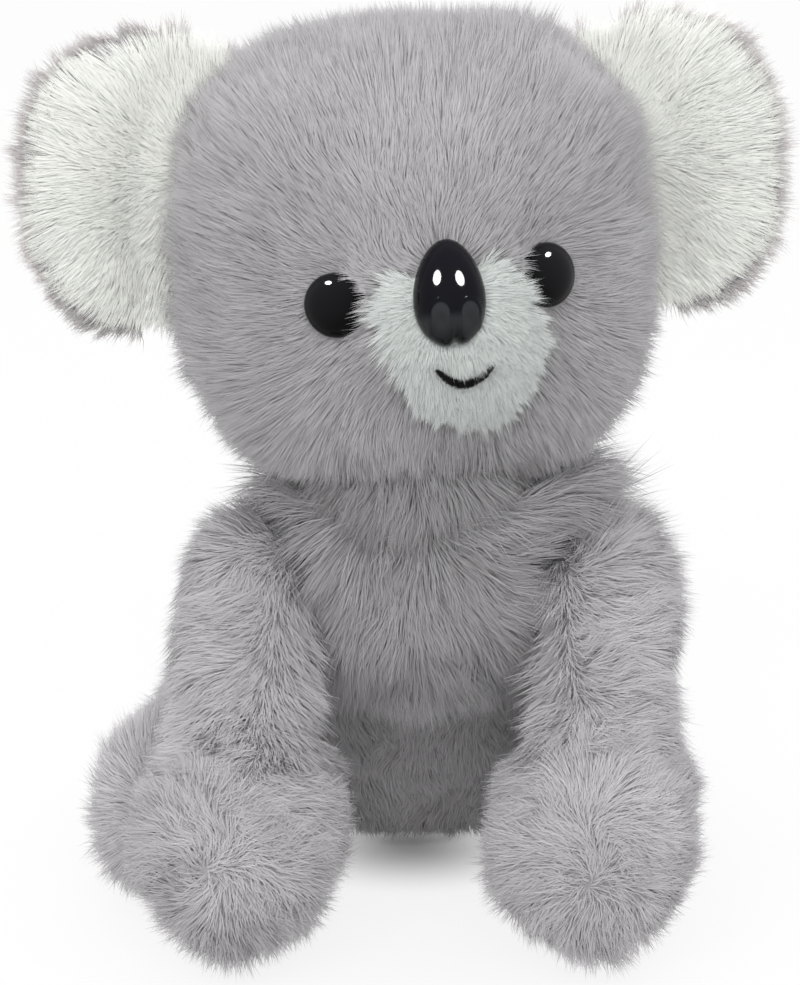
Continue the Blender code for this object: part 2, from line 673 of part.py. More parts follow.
def torso_body(facets, margin):
    """The torso's form shrunk by a margin, with the rooms for the head and limbs cut out."""
    body = cut(torso_form(facets, -margin), head_room(margin))
    for room in limb_rooms(margin):
        cut(body, room)
    return body


def body_seam(front):
    """A block before or behind the sloping seam between the body's two panels."""
    half_gap = SEAM_GAP / 2
    low = (-FLOOR_REACH, -FLOOR_REACH if front else -half_gap, -FLOOR_REACH)
    high = (FLOOR_REACH, half_gap if front else FLOOR_REACH, FLOOR_REACH)
    block = box(low, high)
    spin = Matrix.Rotation(BODY_SEAM_LEAN, 4, "X")
    block.data.transform(Matrix.Translation((0.0, BODY_SEAM_BACK, 0.0)) @ spin)
    return block


def make_torso():
    """The two body panels, the filling and the bag of pellets in the seat."""
    skin = level_floor(torso_body(FINE_TORSO, 0.0))
    cut(skin, torso_body(PLAIN_TORSO, SKIN_THICKNESS))
    cut(skin, neck_socket(NECK_PIVOT, JOINT_GAP))
    filling = torso_body(PLAIN_TORSO, SKIN_THICKNESS + SEAM_GAP)
    cut(filling, neck_socket(NECK_PIVOT, JOINT_GAP))
    bag_height = SKIN_THICKNESS - SETTLE_DEPTH + SEAM_GAP + PELLET_HALF_HEIGHT
    bag_centre = (0.0, -PELLET_HALF_DEPTH / 8, bag_height)
    bag_radii = (PELLET_HALF_WIDTH, PELLET_HALF_DEPTH, PELLET_HALF_HEIGHT)
    bag = ellipsoid(bag_radii, bag_centre, SMALL_AROUND, 10)
    cut(filling, grown(twin(bag), SEAM_GAP))
    back = twin(skin)
    cut(skin, body_seam(False))
    cut(back, body_seam(True))
    return {
        "body_front_panel": (skin, "grey_pile"),
        "body_back_panel": (back, "grey_pile"),
        "body_stuffing": (filling, "fibre_filling"),
        "pellet_bag": (bag, "pellet_cloth"),
    }


def bezier(corners, share):
    """Points at shares along a cubic curve with four corners."""
    p0, p1, p2, p3 = (np.asarray(corner, float) for corner in corners)
    t = np.asarray(share)[:, None]
    return (1 - t) ** 3 * p0 + 3 * (1 - t) ** 2 * t * p1 + 3 * (1 - t) * t**2 * p2 + t**3 * p3


def limb_form(facets, margin, corners, start_cap, end_cap, widths, heights):
    """A limb along a curve, with a round cap at each end and its section smooth between them.

    widths and heights give the section's half sizes at the start, the middle and the end.
    """
    around, steps = facets
    fine = bezier(corners, np.linspace(0.0, 1.0, 200))
    along = np.concatenate([[0.0], np.cumsum(np.linalg.norm(np.diff(fine, axis=0), axis=1))])
    length = along[-1]
    quarter = np.linspace(0.0, math.pi / 2, steps + 1)[1:]
    first = start_cap * (1.0 - np.cos(quarter))
    last = length - end_cap * (1.0 - np.cos(quarter))[::-1]
    middle = np.linspace(first[-1], last[0], steps + 2)[1:-1]
    place = np.concatenate([first, middle, last])
    cap = np.concatenate([np.sin(quarter), np.ones(len(middle)), np.sin(quarter)[::-1]])
    centre = np.stack([np.interp(place, along, fine[:, axis]) for axis in range(3)], axis=-1)
    ahead = np.gradient(centre, axis=0)
    ahead[:, 0] = 0.0
    ahead /= np.linalg.norm(ahead, axis=1)[:, None]
    up = np.cross(ahead, (1.0, 0.0, 0.0))
    share = np.clip((place - first[-1]) / (last[0] - first[-1]), 0.0, 1.0)
    key = (0.0, 0.5, 1.0)
    soft = share * share * (3.0 - 2.0 * share)
    half_width = (np.interp(soft, key, widths) * cap)[:, None, None]
    half_height = (np.interp(soft, key, heights) * cap)[:, None, None]
    turn = np.linspace(0.0, 2 * math.pi, around, endpoint=False)[None, :, None]
    across = half_width * np.cos(turn) * np.array([1.0, 0.0, 0.0])
    rings = centre[:, None] + across + half_height * np.sin(turn) * up[:, None]
    return grown(make_mesh("limb", *closed_rings(fine[0], rings, fine[-1])), margin)


def front_leg_form(side, facets, margin=0.0):
    """From the ball of the shoulder down the arm and forward into the round paw."""
    slope = arm_angle()
    down = Vector((0.0, -math.sin(slope), -math.cos(slope)))
    shoulder = shoulder_place(side)
    paw_height = PAW_HALF_HEIGHT - SETTLE_DEPTH
    paw = Vector((side * PAW_OUT, -PAW_FORWARD, paw_height))
    start = shoulder - SHOULDER_RADIUS * down
    elbow = shoulder + (SHOULDER_RADIUS + ARM_HALF_WIDTH / 2) * down
    heel = paw + Vector((0.0, PAW_LENGTH / 3, 0.0))
    tip = paw - Vector((0.0, PAW_LENGTH, 0.0))
    widths = (SHOULDER_RADIUS, ARM_HALF_WIDTH, PAW_HALF_WIDTH)
    heights = (SHOULDER_RADIUS, ARM_HALF_WIDTH, PAW_HALF_HEIGHT)
    corners = (start, elbow, heel, tip)
    return limb_form(facets, margin, corners, SHOULDER_RADIUS, PAW_LENGTH, widths, heights)


def hind_leg_form(side, facets, margin=0.0):
    """From the haunch beside the seat forward to the rounded foot; the right one is tucked in."""
    hip_height = HIP_RADIUS - SETTLE_DEPTH
    foot_height = FOOT_HALF_HEIGHT - SETTLE_DEPTH
    foot_out, foot_forward = FOOT_OUT, FOOT_FORWARD
    if side > 0:
        foot_out, foot_forward = FOOT_OUT - FOOT_TUCK_IN, FOOT_FORWARD - FOOT_TUCK_BACK
    start = (side * HIP_OUT, HIP_BACK + HIP_RADIUS, hip_height)
    thigh = (side * HIP_OUT, HIP_BACK - HIP_RADIUS / 2, hip_height)
    ankle = (side * foot_out, -foot_forward + FOOT_LENGTH, foot_height)
    tip = (side * foot_out, -foot_forward - FOOT_LENGTH, foot_height)
    widths = (HAUNCH_HALF_WIDTH, ANKLE_HALF_WIDTH, FOOT_HALF_WIDTH)
    heights = (HIP_RADIUS, ANKLE_HALF_HEIGHT, FOOT_HALF_HEIGHT)
    corners = (start, thigh, ankle, tip)
    return limb_form(facets, margin, corners, HIP_RADIUS, FOOT_LENGTH, widths, heights)


def shoulder_place(side):
    """The middle of a shoulder's ball."""
    return Vector((SHOULDERS_ASIDE + side * SHOULDER_OUT, -SHOULDER_FORWARD, SHOULDER_HEIGHT))


def hip_place(side):
    """The hinge of a hind leg, near the back end of the haunch's seam."""
    return Vector((side * (HIP_INNER + JOINT_GAP), HIP_HINGE_BACK, HIP_RADIUS - SETTLE_DEPTH))


def body_side(side, seam, margin):
    """A round block on the body's side of a limb's flat inner face, set back by a margin.

    The seam is a place on the face and the radius in which the face is flat.
    """
    place, radius = seam
    inner = place + Vector((side * (JOINT_GAP + margin), 0.0, 0.0))
    return rod(radius + margin, inner, inner - Vector((side * FLOOR_REACH, 0.0, 0.0)), AROUND)


def make_limb(form, side, seam, opening_radius):
    """A limb's skin and filling, flat where they meet the body and open to it at the seam."""
    deeper = SKIN_THICKNESS + SEAM_GAP
    skin = cut(level_floor(form(side, FINE_LIMB)), body_side(side, seam, 0.0))
    core = cut(form(side, PLAIN_LIMB, -SKIN_THICKNESS), body_side(side, seam, SKIN_THICKNESS))
    cut(skin, core)
    filling = cut(form(side, PLAIN_LIMB, -deeper), body_side(side, seam, deeper))
    inside = seam[0] + Vector((side * (SKIN_THICKNESS + OVERRUN), 0.0, 0.0))
    cut(skin, rod(opening_radius, seam[0], inside))
    return skin, filling


def make_front_leg(side):
    shoulder = shoulder_place(side)
    place = Vector((SHOULDERS_ASIDE + side * CHEST_HALF_WIDTH, shoulder.y, shoulder.z))
    return make_limb(front_leg_form, side, (place, ARM_FLAT_RADIUS), SHOULDER_OPENING_RADIUS)


def make_hind_leg(side):
    place = Vector((side * HIP_INNER, HIP_BACK, HIP_RADIUS - SETTLE_DEPTH))
    return make_limb(hind_leg_form, side, (place, HAUNCH_FLAT_RADIUS), HIP_OPENING_RADIUS)


def merge_flats(thing):
    """Joins the triangles that lie in one plane, then splits them again into as few as will do."""
    shape = bmesh.new()
    shape.from_mesh(thing.data)
    bmesh.ops.dissolve_limit(shape, angle_limit=FLAT_ANGLE, verts=shape.verts, edges=shape.edges)
    bmesh.ops.triangulate(shape, faces=shape.faces)
    shape.to_mesh(thing.data)
    shape.free()


def add_empty(name, location, rotation=(0.0, 0.0, 0.0), parent=None):
    """An empty that carries a moving body."""
    empty = bpy.data.objects.new(name, None)
    bpy.context.scene.collection.objects.link(empty)
    empty.location = location
    empty.rotation_euler = rotation
    empty.parent = parent
    return empty


def finish_piece(name, thing, material, carrier, origin):
    """Names a piece, hangs it on its carrier and shades it smooth."""
    thing.name = name
    thing.data.name = name
    merge_flats(thing)
    thing.data.transform(Matrix.Translation(-Vector(origin)))
    thing.parent = carrier
    thing.data.materials.clear()
    thing.data.materials.append(material)
    thing.data.shade_smooth()
    thing.data.set_sharp_from_angle(angle=math.radians(50.0))


def build():
    clear_scene()
    finishes = make_materials()
    torso = add_empty("torso", (0.0, 0.0, 0.0))
    for name, (thing, finish) in make_torso().items():
        finish_piece(name, thing, finishes[finish], torso, (0.0, 0.0, 0.0))
    neck = add_empty("neck_pivot", NECK_PIVOT, parent=torso)
    ball = neck_socket(NECK_PIVOT, 0.0)
    finish_piece("neck_stuffing", ball, finishes["fibre_filling"], neck, NECK_PIVOT)
    pose = (0.0, -HEAD_TILT, HEAD_TURN)
    head = add_empty("head", HEAD_CENTRE - NECK_PIVOT, pose, neck)
    for name, (thing, finish) in make_head().items():
        finish_piece(name, thing, finishes[finish], head, (0.0, 0.0, 0.0))
    for word, side in SIDES.items():
        place, _ = ear_hinge(side)
        ear = add_empty(f"{word}_ear", place, parent=head)
        front, back = make_ear(side)
        finish_piece(f"{word}_ear_front_panel", front, finishes["white_pile"], ear, place)
        finish_piece(f"{word}_ear_back_panel", back, finishes["grey_pile"], ear, place)
        for limb, place, pieces in (
            ("front_leg", shoulder_place(side), make_front_leg(side)),
            ("hind_leg", hip_place(side), make_hind_leg(side)),
        ):
            leg = add_empty(f"{word}_{limb}", place, parent=torso)
            skin, filling = pieces
            finish_piece(f"{word}_{limb}_skin", skin, finishes["grey_pile"], leg, place)
            finish_piece(f"{word}_{limb}_stuffing", filling, finishes["fibre_filling"], leg, place)


build()
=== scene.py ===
# %% [markdown]
# # A plush koala that sits up
#
# This lesson dresses a imported model of a stuffed toy. The model holds the solids
# and the joints; here each soft solid gets a stuffed skin with real strands of
# pile on it, and the hard parts get a smooth shape and a glossy finish.
#
# The frame comes first. Its bodies carry everything that is made below.

# %% The frame
import math

import bmesh
import bpy
import numpy as np
from mathutils import Euler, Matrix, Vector


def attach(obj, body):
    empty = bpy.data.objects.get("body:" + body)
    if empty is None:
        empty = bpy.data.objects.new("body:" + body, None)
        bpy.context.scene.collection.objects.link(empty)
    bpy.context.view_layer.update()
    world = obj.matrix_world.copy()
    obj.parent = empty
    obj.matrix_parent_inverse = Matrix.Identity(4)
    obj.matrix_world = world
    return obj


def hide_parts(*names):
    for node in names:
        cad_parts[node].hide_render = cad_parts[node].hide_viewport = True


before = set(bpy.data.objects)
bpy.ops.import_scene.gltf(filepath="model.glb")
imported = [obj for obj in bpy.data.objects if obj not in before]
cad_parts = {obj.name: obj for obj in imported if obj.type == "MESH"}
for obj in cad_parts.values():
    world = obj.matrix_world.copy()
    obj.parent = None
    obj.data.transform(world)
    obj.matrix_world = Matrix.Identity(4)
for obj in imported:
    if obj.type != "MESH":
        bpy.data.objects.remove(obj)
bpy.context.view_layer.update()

# %% [markdown]
# ## The camera
#
# The toy was photographed with a long lens from a little above its own height.
# A long lens keeps the paws, which are nearest, from looking too large. The
# same numbers also tell where a point of the toy falls in the picture, which
# helps later on when the pile is brushed the way it lies in the photograph.

# %% Camera
PHOTO_WIDTH, PHOTO_HEIGHT = 800, 985
CAMERA_RISE = math.radians(13.0)
CAMERA_AIM = np.array([-0.0027, -0.082, 0.1015])
CAMERA_DISTANCE = 0.650
FOCAL_PIXELS = 3068.0
SENSOR = 36.0

to_camera = np.array([0.0, -math.cos(CAMERA_RISE), math.sin(CAMERA_RISE)])
picture_right = np.array([1.0, 0.0, 0.0])
picture_up = np.array([0.0, math.sin(CAMERA_RISE), math.cos(CAMERA_RISE)])
camera_place = CAMERA_AIM + CAMERA_DISTANCE * to_camera


def add_object(name, data):
    """An object of that data, in the scene."""
    thing = bpy.data.objects.new(name, data)
    bpy.context.scene.collection.objects.link(thing)
    return thing


def add_camera():
    """A camera whose long side's sensor gives the focal length in pixels of the picture's height."""
    data = bpy.data.cameras.new("camera")
    data.sensor_width = SENSOR
    data.lens = FOCAL_PIXELS / PHOTO_HEIGHT * SENSOR
    data.clip_start, data.clip_end = 0.01, 20.0
    camera = add_object("camera", data)
    camera.location = camera_place
    camera.rotation_euler = Vector(to_camera).to_track_quat("Z", "Y").to_euler()
    bpy.context.scene.camera = camera


def photo_place(points):
    """Where points fall in the picture: pixels right and down, by dividing by their depth."""
    away = points - camera_place
    depth = -(away @ to_camera)
    right = PHOTO_WIDTH / 2 + FOCAL_PIXELS * (away @ picture_right) / depth
    down = PHOTO_HEIGHT / 2 - FOCAL_PIXELS * (away @ picture_up) / depth
    return right, down


add_camera()
bpy.context.scene.view_settings.view_transform = "Standard"
print("camera at", [round(float(x), 3) for x in camera_place])

# %% [markdown]
# ## Light and floor
#
# A toy for a catalogue is lit from all round by large white screens, with one
# soft box above the camera. The world stands for the screens. The floor is white
# and keeps a little of the toy's shadow, most of it under the belly. Small lamps
# that light only the eyes and the nose come last, once those are there.

# %% Light and floor
WORLD_LIGHT = 0.94
BOX_POWER = 12.5
BOX_SIZE = (1.30, 0.70)
CATCH_POWER = 16.0
FLOOR_FAR_LIGHT = 0.6
FLOOR_REACH, FLOOR_GREY, FLOOR_GLOW_SHARE = 6.0, 0.93, 0.84
FLOOR_FADE = (0.000, 0.034)
SHADE_MIDDLE = (0.0, -0.020, 0.0)
TOY_MIDDLE = (0.0, -0.06, 0.11)
BOX_PLACE = (-0.10, -1.30, 0.75)


def white_when_seen(tree, otherwise):
    """A strength of 1 to the camera, in reflections and through glass, and less as light."""
    path = tree.nodes.new("ShaderNodeLightPath")
    seen = path.outputs["Is Camera Ray"]
    for kind in ("Is Glossy Ray", "Is Transmission Ray"):
        either = tree.nodes.new("ShaderNodeMath")
        either.operation = "MAXIMUM"
        tree.links.new(seen, either.inputs[0])
        tree.links.new(path.outputs[kind], either.inputs[1])
        seen = either.outputs["Value"]
    level = tree.nodes.new("ShaderNodeMapRange")
    level.inputs["To Min"].default_value = otherwise
    level.inputs["To Max"].default_value = 1.0
    tree.links.new(seen, level.inputs["Value"])
    return level.outputs["Result"]


def add_world():
    """White to the camera and in reflections, and a weaker white as light on the toy."""
    world = bpy.data.worlds.new("studio")
    bpy.context.scene.world = world
    world.use_nodes = True
    nodes, links = world.node_tree.nodes, world.node_tree.links
    shade = nodes["Background"]
    shade.inputs["Color"].default_value = (1.0, 1.0, 1.0, 1.0)
    links.new(white_when_seen(world.node_tree, WORLD_LIGHT), shade.inputs["Strength"])


def add_soft_box(name, place, aim, power, size, shape="RECTANGLE"):
    """A flat lamp that faces its aim."""
    data = bpy.data.lights.new(name, "AREA")
    data.shape = shape
    data.size, data.size_y = size
    data.energy = power
    lamp = add_object(name, data)
    lamp.location = place
    lamp.rotation_euler = (Vector(place) - Vector(aim)).to_track_quat("Z", "Y").to_euler()
    return lamp


def new_material(name):
    """A material with its nodes and links."""
    material = bpy.data.materials.new(name)
    material.use_nodes = True
    return material, material.node_tree.nodes, material.node_tree.links


def add_floor():
    """A wide white floor: matt under the toy, and mostly plain white further off, with faint shadows."""
    mesh = bpy.data.meshes.new("floor")
    reach = FLOOR_REACH
    corners = [(-reach, -reach, 0), (reach, -reach, 0), (reach, reach, 0), (-reach, reach, 0)]
    mesh.from_pydata(corners, [], [(0, 1, 2, 3)])
    floor = add_object("floor", mesh)
    material, nodes, links = new_material("white_floor")
    nodes.clear()
    out = nodes.new("ShaderNodeOutputMaterial")
    matt = nodes.new("ShaderNodeBsdfDiffuse")
    matt.inputs["Color"].default_value = (FLOOR_GREY, FLOOR_GREY, FLOOR_GREY, 1.0)
    glow = nodes.new("ShaderNodeEmission")
    links.new(white_when_seen(material.node_tree, FLOOR_FAR_LIGHT), glow.inputs["Strength"])
    place = nodes.new("ShaderNodeTexCoord")
    away = nodes.new("ShaderNodeVectorMath")
    away.operation = "DISTANCE"
    away.inputs[1].default_value = SHADE_MIDDLE
    fade = nodes.new("ShaderNodeMapRange")
    fade.interpolation_type = "SMOOTHSTEP"
    fade.inputs["From Min"].default_value, fade.inputs["From Max"].default_value = FLOOR_FADE
    both = nodes.new("ShaderNodeMixShader")
    links.new(place.outputs["Object"], away.inputs["Vector"])
    links.new(away.outputs["Value"], fade.inputs["Value"])
    fade.inputs["To Max"].default_value = FLOOR_GLOW_SHARE
    links.new(fade.outputs["Result"], both.inputs["Fac"])
    links.new(matt.outputs["BSDF"], both.inputs[1])
    links.new(glow.outputs["Emission"], both.inputs[2])
    links.new(both.outputs["Shader"], out.inputs["Surface"])
    mesh.materials.append(material)


add_world()
add_floor()
front_box = add_soft_box("front_box", BOX_PLACE, TOY_MIDDLE, BOX_POWER, BOX_SIZE)

# %% [markdown]
# ## Meshes from arrays
#
# Every piece below is a surface worked out with numpy. Two helpers turn arrays
# into meshes: one for a closed surface made of rings, and one for any points
# and faces. Arrays go into the mesh in one call, which is fast even for a coat
# of a hundred thousand strands.

# %% Helpers for meshes
def mesh_object(name, points, loops, sizes):
    """An object from points, the corner numbers of all faces in a row, and each face's count."""
    mesh = bpy.data.meshes.new(name)
    mesh.vertices.add(len(points))
    mesh.vertices.foreach_set("co", np.ascontiguousarray(points, np.float32).ravel())
    mesh.loops.add(len(loops))
    mesh.loops.foreach_set("vertex_index", np.ascontiguousarray(loops, np.int32))
    mesh.polygons.add(len(sizes))
    starts = np.concatenate([[0], np.cumsum(sizes)[:-1]])
    mesh.polygons.foreach_set("loop_start", starts.astype(np.int32))
    mesh.update(calc_edges=True)
    mesh.validate()
    return add_object(name, mesh)


def ring_surface(name, first, rings, last):
    """A closed surface through rings of equal length, with a fan to a point at each end."""
    count, around = rings.shape[:2]
    points = np.vstack([np.reshape(first, (1, 3)), rings.reshape(-1, 3), np.reshape(last, (1, 3))])
    here = np.arange(around)
    beside = (here + 1) % around
    rows = 1 + around * np.arange(count - 1)[:, None]
    corners = [rows + here, rows + beside, rows + around + beside, rows + around + here]
    quads = np.stack(corners, axis=-1)
    top = 1 + (count - 1) * around
    start_fan = np.stack([0 * here, 1 + beside, 1 + here], axis=-1)
    end_fan = np.stack([0 * here + len(points) - 1, top + here, top + beside], axis=-1)
    loops = np.concatenate([quads.ravel(), start_fan.ravel(), end_fan.ravel()])
    sizes = np.concatenate([np.full(len(quads.reshape(-1, 4)), 4), np.full(2 * around, 3)])
    thing = mesh_object(name, points, loops, sizes)
    face_outwards(thing)
    return thing


def face_outwards(thing):
    """Turns the faces of a closed surface outwards, and shades it smooth."""
    shape = bmesh.new()
    shape.from_mesh(thing.data)
    bmesh.ops.recalc_face_normals(shape, faces=shape.faces)
    if shape.calc_volume(signed=True) < 0:
        bmesh.ops.reverse_faces(shape, faces=shape.faces)
    shape.to_mesh(thing.data)
    shape.free()
    thing.data.shade_smooth()


def vectors_of(source, name, count):
    """As many vectors of that name as counted, read in one call."""
    values = np.empty(count * 3, np.float32)
    source.foreach_get(name, values)
    return values.reshape(-1, 3).astype(float)


def points_of(thing):
    """The places of an object's vertices."""
    return vectors_of(thing.data.vertices, "co", len(thing.data.vertices))


def normals_of(thing):
    """The normals at an object's vertices."""
    return vectors_of(thing.data.vertex_normals, "vector", len(thing.data.vertices))


def put_points(thing, points):
    """Moves an object's vertices to these places."""
    thing.data.vertices.foreach_set("co", np.ascontiguousarray(points, np.float32).ravel())
    thing.data.update()


def unit(vectors):
    """Vectors scaled to length 1."""
    return vectors / np.maximum(np.linalg.norm(vectors, axis=-1, keepdims=True), 1e-9)


def full_turn(count):
    """Angles evenly round a circle."""
    return np.linspace(0.0, 2 * math.pi, count, endpoint=False)


def smooth(low, high, values):
    """0 below low, 1 above high, and a soft S between."""
    share = np.clip((values - low) / (high - low), 0.0, 1.0)
    return share * share * (3.0 - 2.0 * share)


# %% [markdown]
# ## Stuffed skins
#
# Under its pile each part of the toy is a bag of backing cloth, stuffed until
# it is round. A bag starts as the part's form, set in by the depth of the pile.
# It is remeshed evenly and blown up a little by a cloth simulation, which rounds
# its corners as stuffing does. The simulation runs at ten times the size,
# because cloth settings are made for metres of fabric.

# %% Stuffing a skin
PILE_DEPTH = 0.0045
PRESSED_DEPTH = 0.0008
SKIN_VOXEL = 0.0026
CLOTH_SCALE = 10.0
CLOTH_FRAMES = 12
CLOTH_MASS, CLOTH_PRESSURE = 0.05, 4.0
FLOOR_CLEARANCE = 0.0006


def apply_modifiers(thing):
    """Gives an object the mesh that its modifiers make of it."""
    graph = bpy.context.evaluated_depsgraph_get()
    mesh = bpy.data.meshes.new_from_object(thing.evaluated_get(graph))
    thing.modifiers.clear()
    thing.data = mesh


def even_mesh(thing, voxel):
    """Remeshes a closed surface into even quads, and keeps its place."""
    modifier = thing.modifiers.new("even", "REMESH")
    modifier.mode = "VOXEL"
    modifier.voxel_size = voxel
    apply_modifiers(thing)


def blow_up(thing, most):
    """Cloth under pressure from inside; no point moves further than most."""
    rest = points_of(thing)
    put_points(thing, rest * CLOTH_SCALE)
    cloth = thing.modifiers.new("stuffing", "CLOTH")
    cloth.settings.mass = CLOTH_MASS
    cloth.settings.use_pressure = True
    cloth.settings.uniform_pressure_force = CLOTH_PRESSURE
    cloth.settings.effector_weights.gravity = 0.0
    cloth.point_cache.frame_end = CLOTH_FRAMES
    scene = bpy.context.scene
    for number in range(1, CLOTH_FRAMES + 1):
        scene.frame_set(number)
    graph = bpy.context.evaluated_depsgraph_get()
    swollen = thing.evaluated_get(graph).to_mesh()
    moved = np.empty(len(rest) * 3, np.float32)
    swollen.vertices.foreach_get("co", moved)
    step = moved.reshape(-1, 3) / CLOTH_SCALE - rest
    length = np.linalg.norm(step, axis=1, keepdims=True)
    step *= np.minimum(1.0, most / np.maximum(length, 1e-9))
    thing.modifiers.clear()
    scene.frame_set(1)
    put_points(thing, rest + step)
    return float(length.max())


def rounder(thing):
    """One level of subdivision, applied."""
    modifier = thing.modifiers.new("rounder", "SUBSURF")
    modifier.levels = modifier.render_levels = 1
    apply_modifiers(thing)
    thing.data.shade_smooth()


def stuffed(thing, pressed=None, swell=0.0006, voxel=SKIN_VOXEL, room=None):
    """Sets a form in by the pile's depth, and less where the pile is pressed, then stuffs it."""
    points = points_of(thing)
    depth = PILE_DEPTH * np.ones((len(points), 1))
    if pressed is not None:
        depth -= (PILE_DEPTH - PRESSED_DEPTH) * pressed(points)[:, None]
    put_points(thing, points - (depth + swell) * normals_of(thing))
    if room is not None:
        put_points(thing, room(points_of(thing)))
    even_mesh(thing, voxel)
    most_moved = blow_up(thing, swell)
    rounder(thing)
    points = points_of(thing)
    points[:, 2] = np.maximum(points[:, 2], FLOOR_CLEARANCE)
    put_points(thing, points)
    triangles = sum(len(face.vertices) - 2 for face in thing.data.polygons)
    print(f"{thing.name}: {triangles} triangles, moved {1000 * most_moved:.1f} mm before the cap")
    return thing


# %% [markdown]
# ## The head's form
#
# Seen from the front the head is a rounded square, and in profile it is round.
# The formula is a superellipse in width and height, joined to a plain circle in
# depth. A soft bump carries the muzzle. The head is turned and tilted a little
# on the body, as in the photograph, so its form is made in its own frame.

# %% Head form
HEAD_HALF_WIDTH, HEAD_HALF_DEPTH, HEAD_HALF_HEIGHT = 0.051, 0.0465, 0.0505
HEAD_SQUARENESS = 2.8
HEAD_CENTRE = np.array([0.0, -0.064, 0.1495])
NECK_PIVOT = np.array([0.0, -0.064, 0.104])
NECK_ROOM = 0.0205
BOWL_CENTRE, BOWL_RADII = np.array([0.0, -0.063, 0.146]), np.array([0.060, 0.060, 0.0513])
HEAD_SPIN = np.array(Euler((0.0, -math.radians(3.0), math.radians(7.5))).to_matrix())
MUZZLE_ASIDE, MUZZLE_DROP = 0.0036, 0.0108
MUZZLE_HALF_WIDTH, MUZZLE_HALF_HEIGHT, MUZZLE_RISE = 0.0180, 0.0183, 0.0060


def head_front(x, z):
    """The superellipse's value in the head's own width and height: 1 on its edge."""
    power = HEAD_SQUARENESS
    across, up = np.abs(x / HEAD_HALF_WIDTH), np.abs(z / HEAD_HALF_HEIGHT)
    return (across**power + up**power) ** (2 / power)


def muzzle_swell(x, z):
    """The bump under the muzzle: its rise times exp(-distance cubed) from the muzzle's middle."""
    across = (x - MUZZLE_ASIDE) / MUZZLE_HALF_WIDTH
    up = (z + MUZZLE_DROP) / MUZZLE_HALF_HEIGHT
    return MUZZLE_RISE * np.exp(-((across**2 + up**2) ** 1.5))


def head_world(points):
    """From the head's own frame to the toy's."""
    return points @ HEAD_SPIN.T + HEAD_CENTRE


def head_own(points):
    """From the toy's frame to the head's own."""
    return (points - HEAD_CENTRE) @ HEAD_SPIN


def face_surface(x, z):
    """The face's y at a place seen from the front, in the head's own frame."""
    inside = np.clip(1.0 - head_front(x, z), 0.0, 1.0)
    return -HEAD_HALF_DEPTH * np.sqrt(inside) - muzzle_swell(x, z)


def head_rings(rows=60, around=120):
    """Rings about the line from the face to the nape."""
    tilt = np.linspace(0.0, math.pi, rows + 1)[:, None]
    turn = full_turn(around)[None, :]
    x, y, z = np.sin(tilt) * np.cos(turn), -np.cos(tilt) + 0 * turn, np.sin(tilt) * np.sin(turn)
    reach = np.sqrt(head_front(x, z) + (y / HEAD_HALF_DEPTH) ** 2)
    points = np.stack([x, y, z], axis=-1) / reach[..., None]
    points[..., 1] -= np.where(y < 0, muzzle_swell(points[..., 0], points[..., 2]), 0.0)
    return head_world(points)


def under_rim(points):
    """As under_head, and more than half at the chest's front rim, which stands high under the chin."""
    front = 1.0 - smooth(-0.078, -0.066, points[:, 1])
    return np.maximum(under_head(points), 0.62 * smooth(0.080, 0.091, points[:, 2]) * front)


def under_head(points):
    """1 where the head and the chest press on each other, 0 in the open."""
    oval = np.hypot((points[:, 0] - 0.004) / 0.040, (points[:, 1] + 0.060) / 0.026)
    away = (points[:, :2] - BOWL_CENTRE[:2]) / BOWL_RADII[:2]
    bowl = BOWL_CENTRE[2] - BOWL_RADII[2] * np.sqrt(np.clip(1.0 - (away**2).sum(axis=1), 0.0, None))
    near = smooth(-0.0045, -0.0020, points[:, 2] - bowl)
    return (1.0 - smooth(0.66, 0.90, oval)) * near * (1.0 - smooth(0.108, 0.116, points[:, 2]))


def above_neck(points):
    """Lifts the head's underside over the ball of the neck."""
    away = points - NECK_PIVOT
    flat = np.hypot(away[:, 0], away[:, 1])
    ball = NECK_PIVOT[2] + np.sqrt(np.clip(NECK_ROOM**2 - flat**2, 0.0, None))
    under = (flat < NECK_ROOM) & (points[:, 2] < ball)
    points[under, 2] = ball[under]
    return points


rings = head_rings()
head_skin = ring_surface("head_skin", rings[0, 0], rings[1:-1], rings[-1, 0])
stuffed(head_skin, under_head, room=above_neck)

# %% [markdown]
# ## The body's form
#
# The body is a stack of level ovals, widest at the belly, which lean forward up
# to the chest. A bowl is pressed into its top for the head, and its sides are
# flat where the legs lie against it.

# %% Body form
TORSO_HEIGHT, SETTLE = 0.110, 0.0005
TORSO_HALF_WIDTH, TORSO_HALF_DEPTH, HEAD_FORWARD, SHOULDERS_ASIDE = 0.042, 0.035, 0.064, 0.0035
LEVELS = (0.0, 0.006, 0.05, 0.13, 0.24, 0.36, 0.48, 0.60, 0.71, 0.81, 0.90, 0.965, 1.0)
WIDTHS = (0.30, 0.56, 0.80, 0.92, 0.98, 1.0, 1.0, 1.0, 1.0, 1.0, 0.97, 0.83, 0.42)
DEPTHS = (0.27, 0.48, 0.70, 0.84, 0.94, 1.0, 1.02, 1.03, 0.98, 0.90, 0.80, 0.62, 0.30)
FORWARDS = (0.0, 0.0, 0.02, 0.07, 0.17, 0.31, 0.48, 0.65, 0.76, 0.83, 0.88, 0.90, 0.91)
ASIDES = (0.0, 0.0, 0.0, 0.05, 0.2, 0.4, 0.65, 0.85, 0.97, 1.1, 1.3, 1.5, 1.5)
SHOULDER = np.array([-0.066, 0.078])
SHOULDER_ROOM, CHEST_HALF_WIDTH = 0.0177, 0.0220
HIP = np.array([-0.004, 0.0245])
HIP_ROOM, HIP_INNER = 0.0255, 0.0330
PAW_OUT, PAW_FORWARD = 0.0373, 0.0965
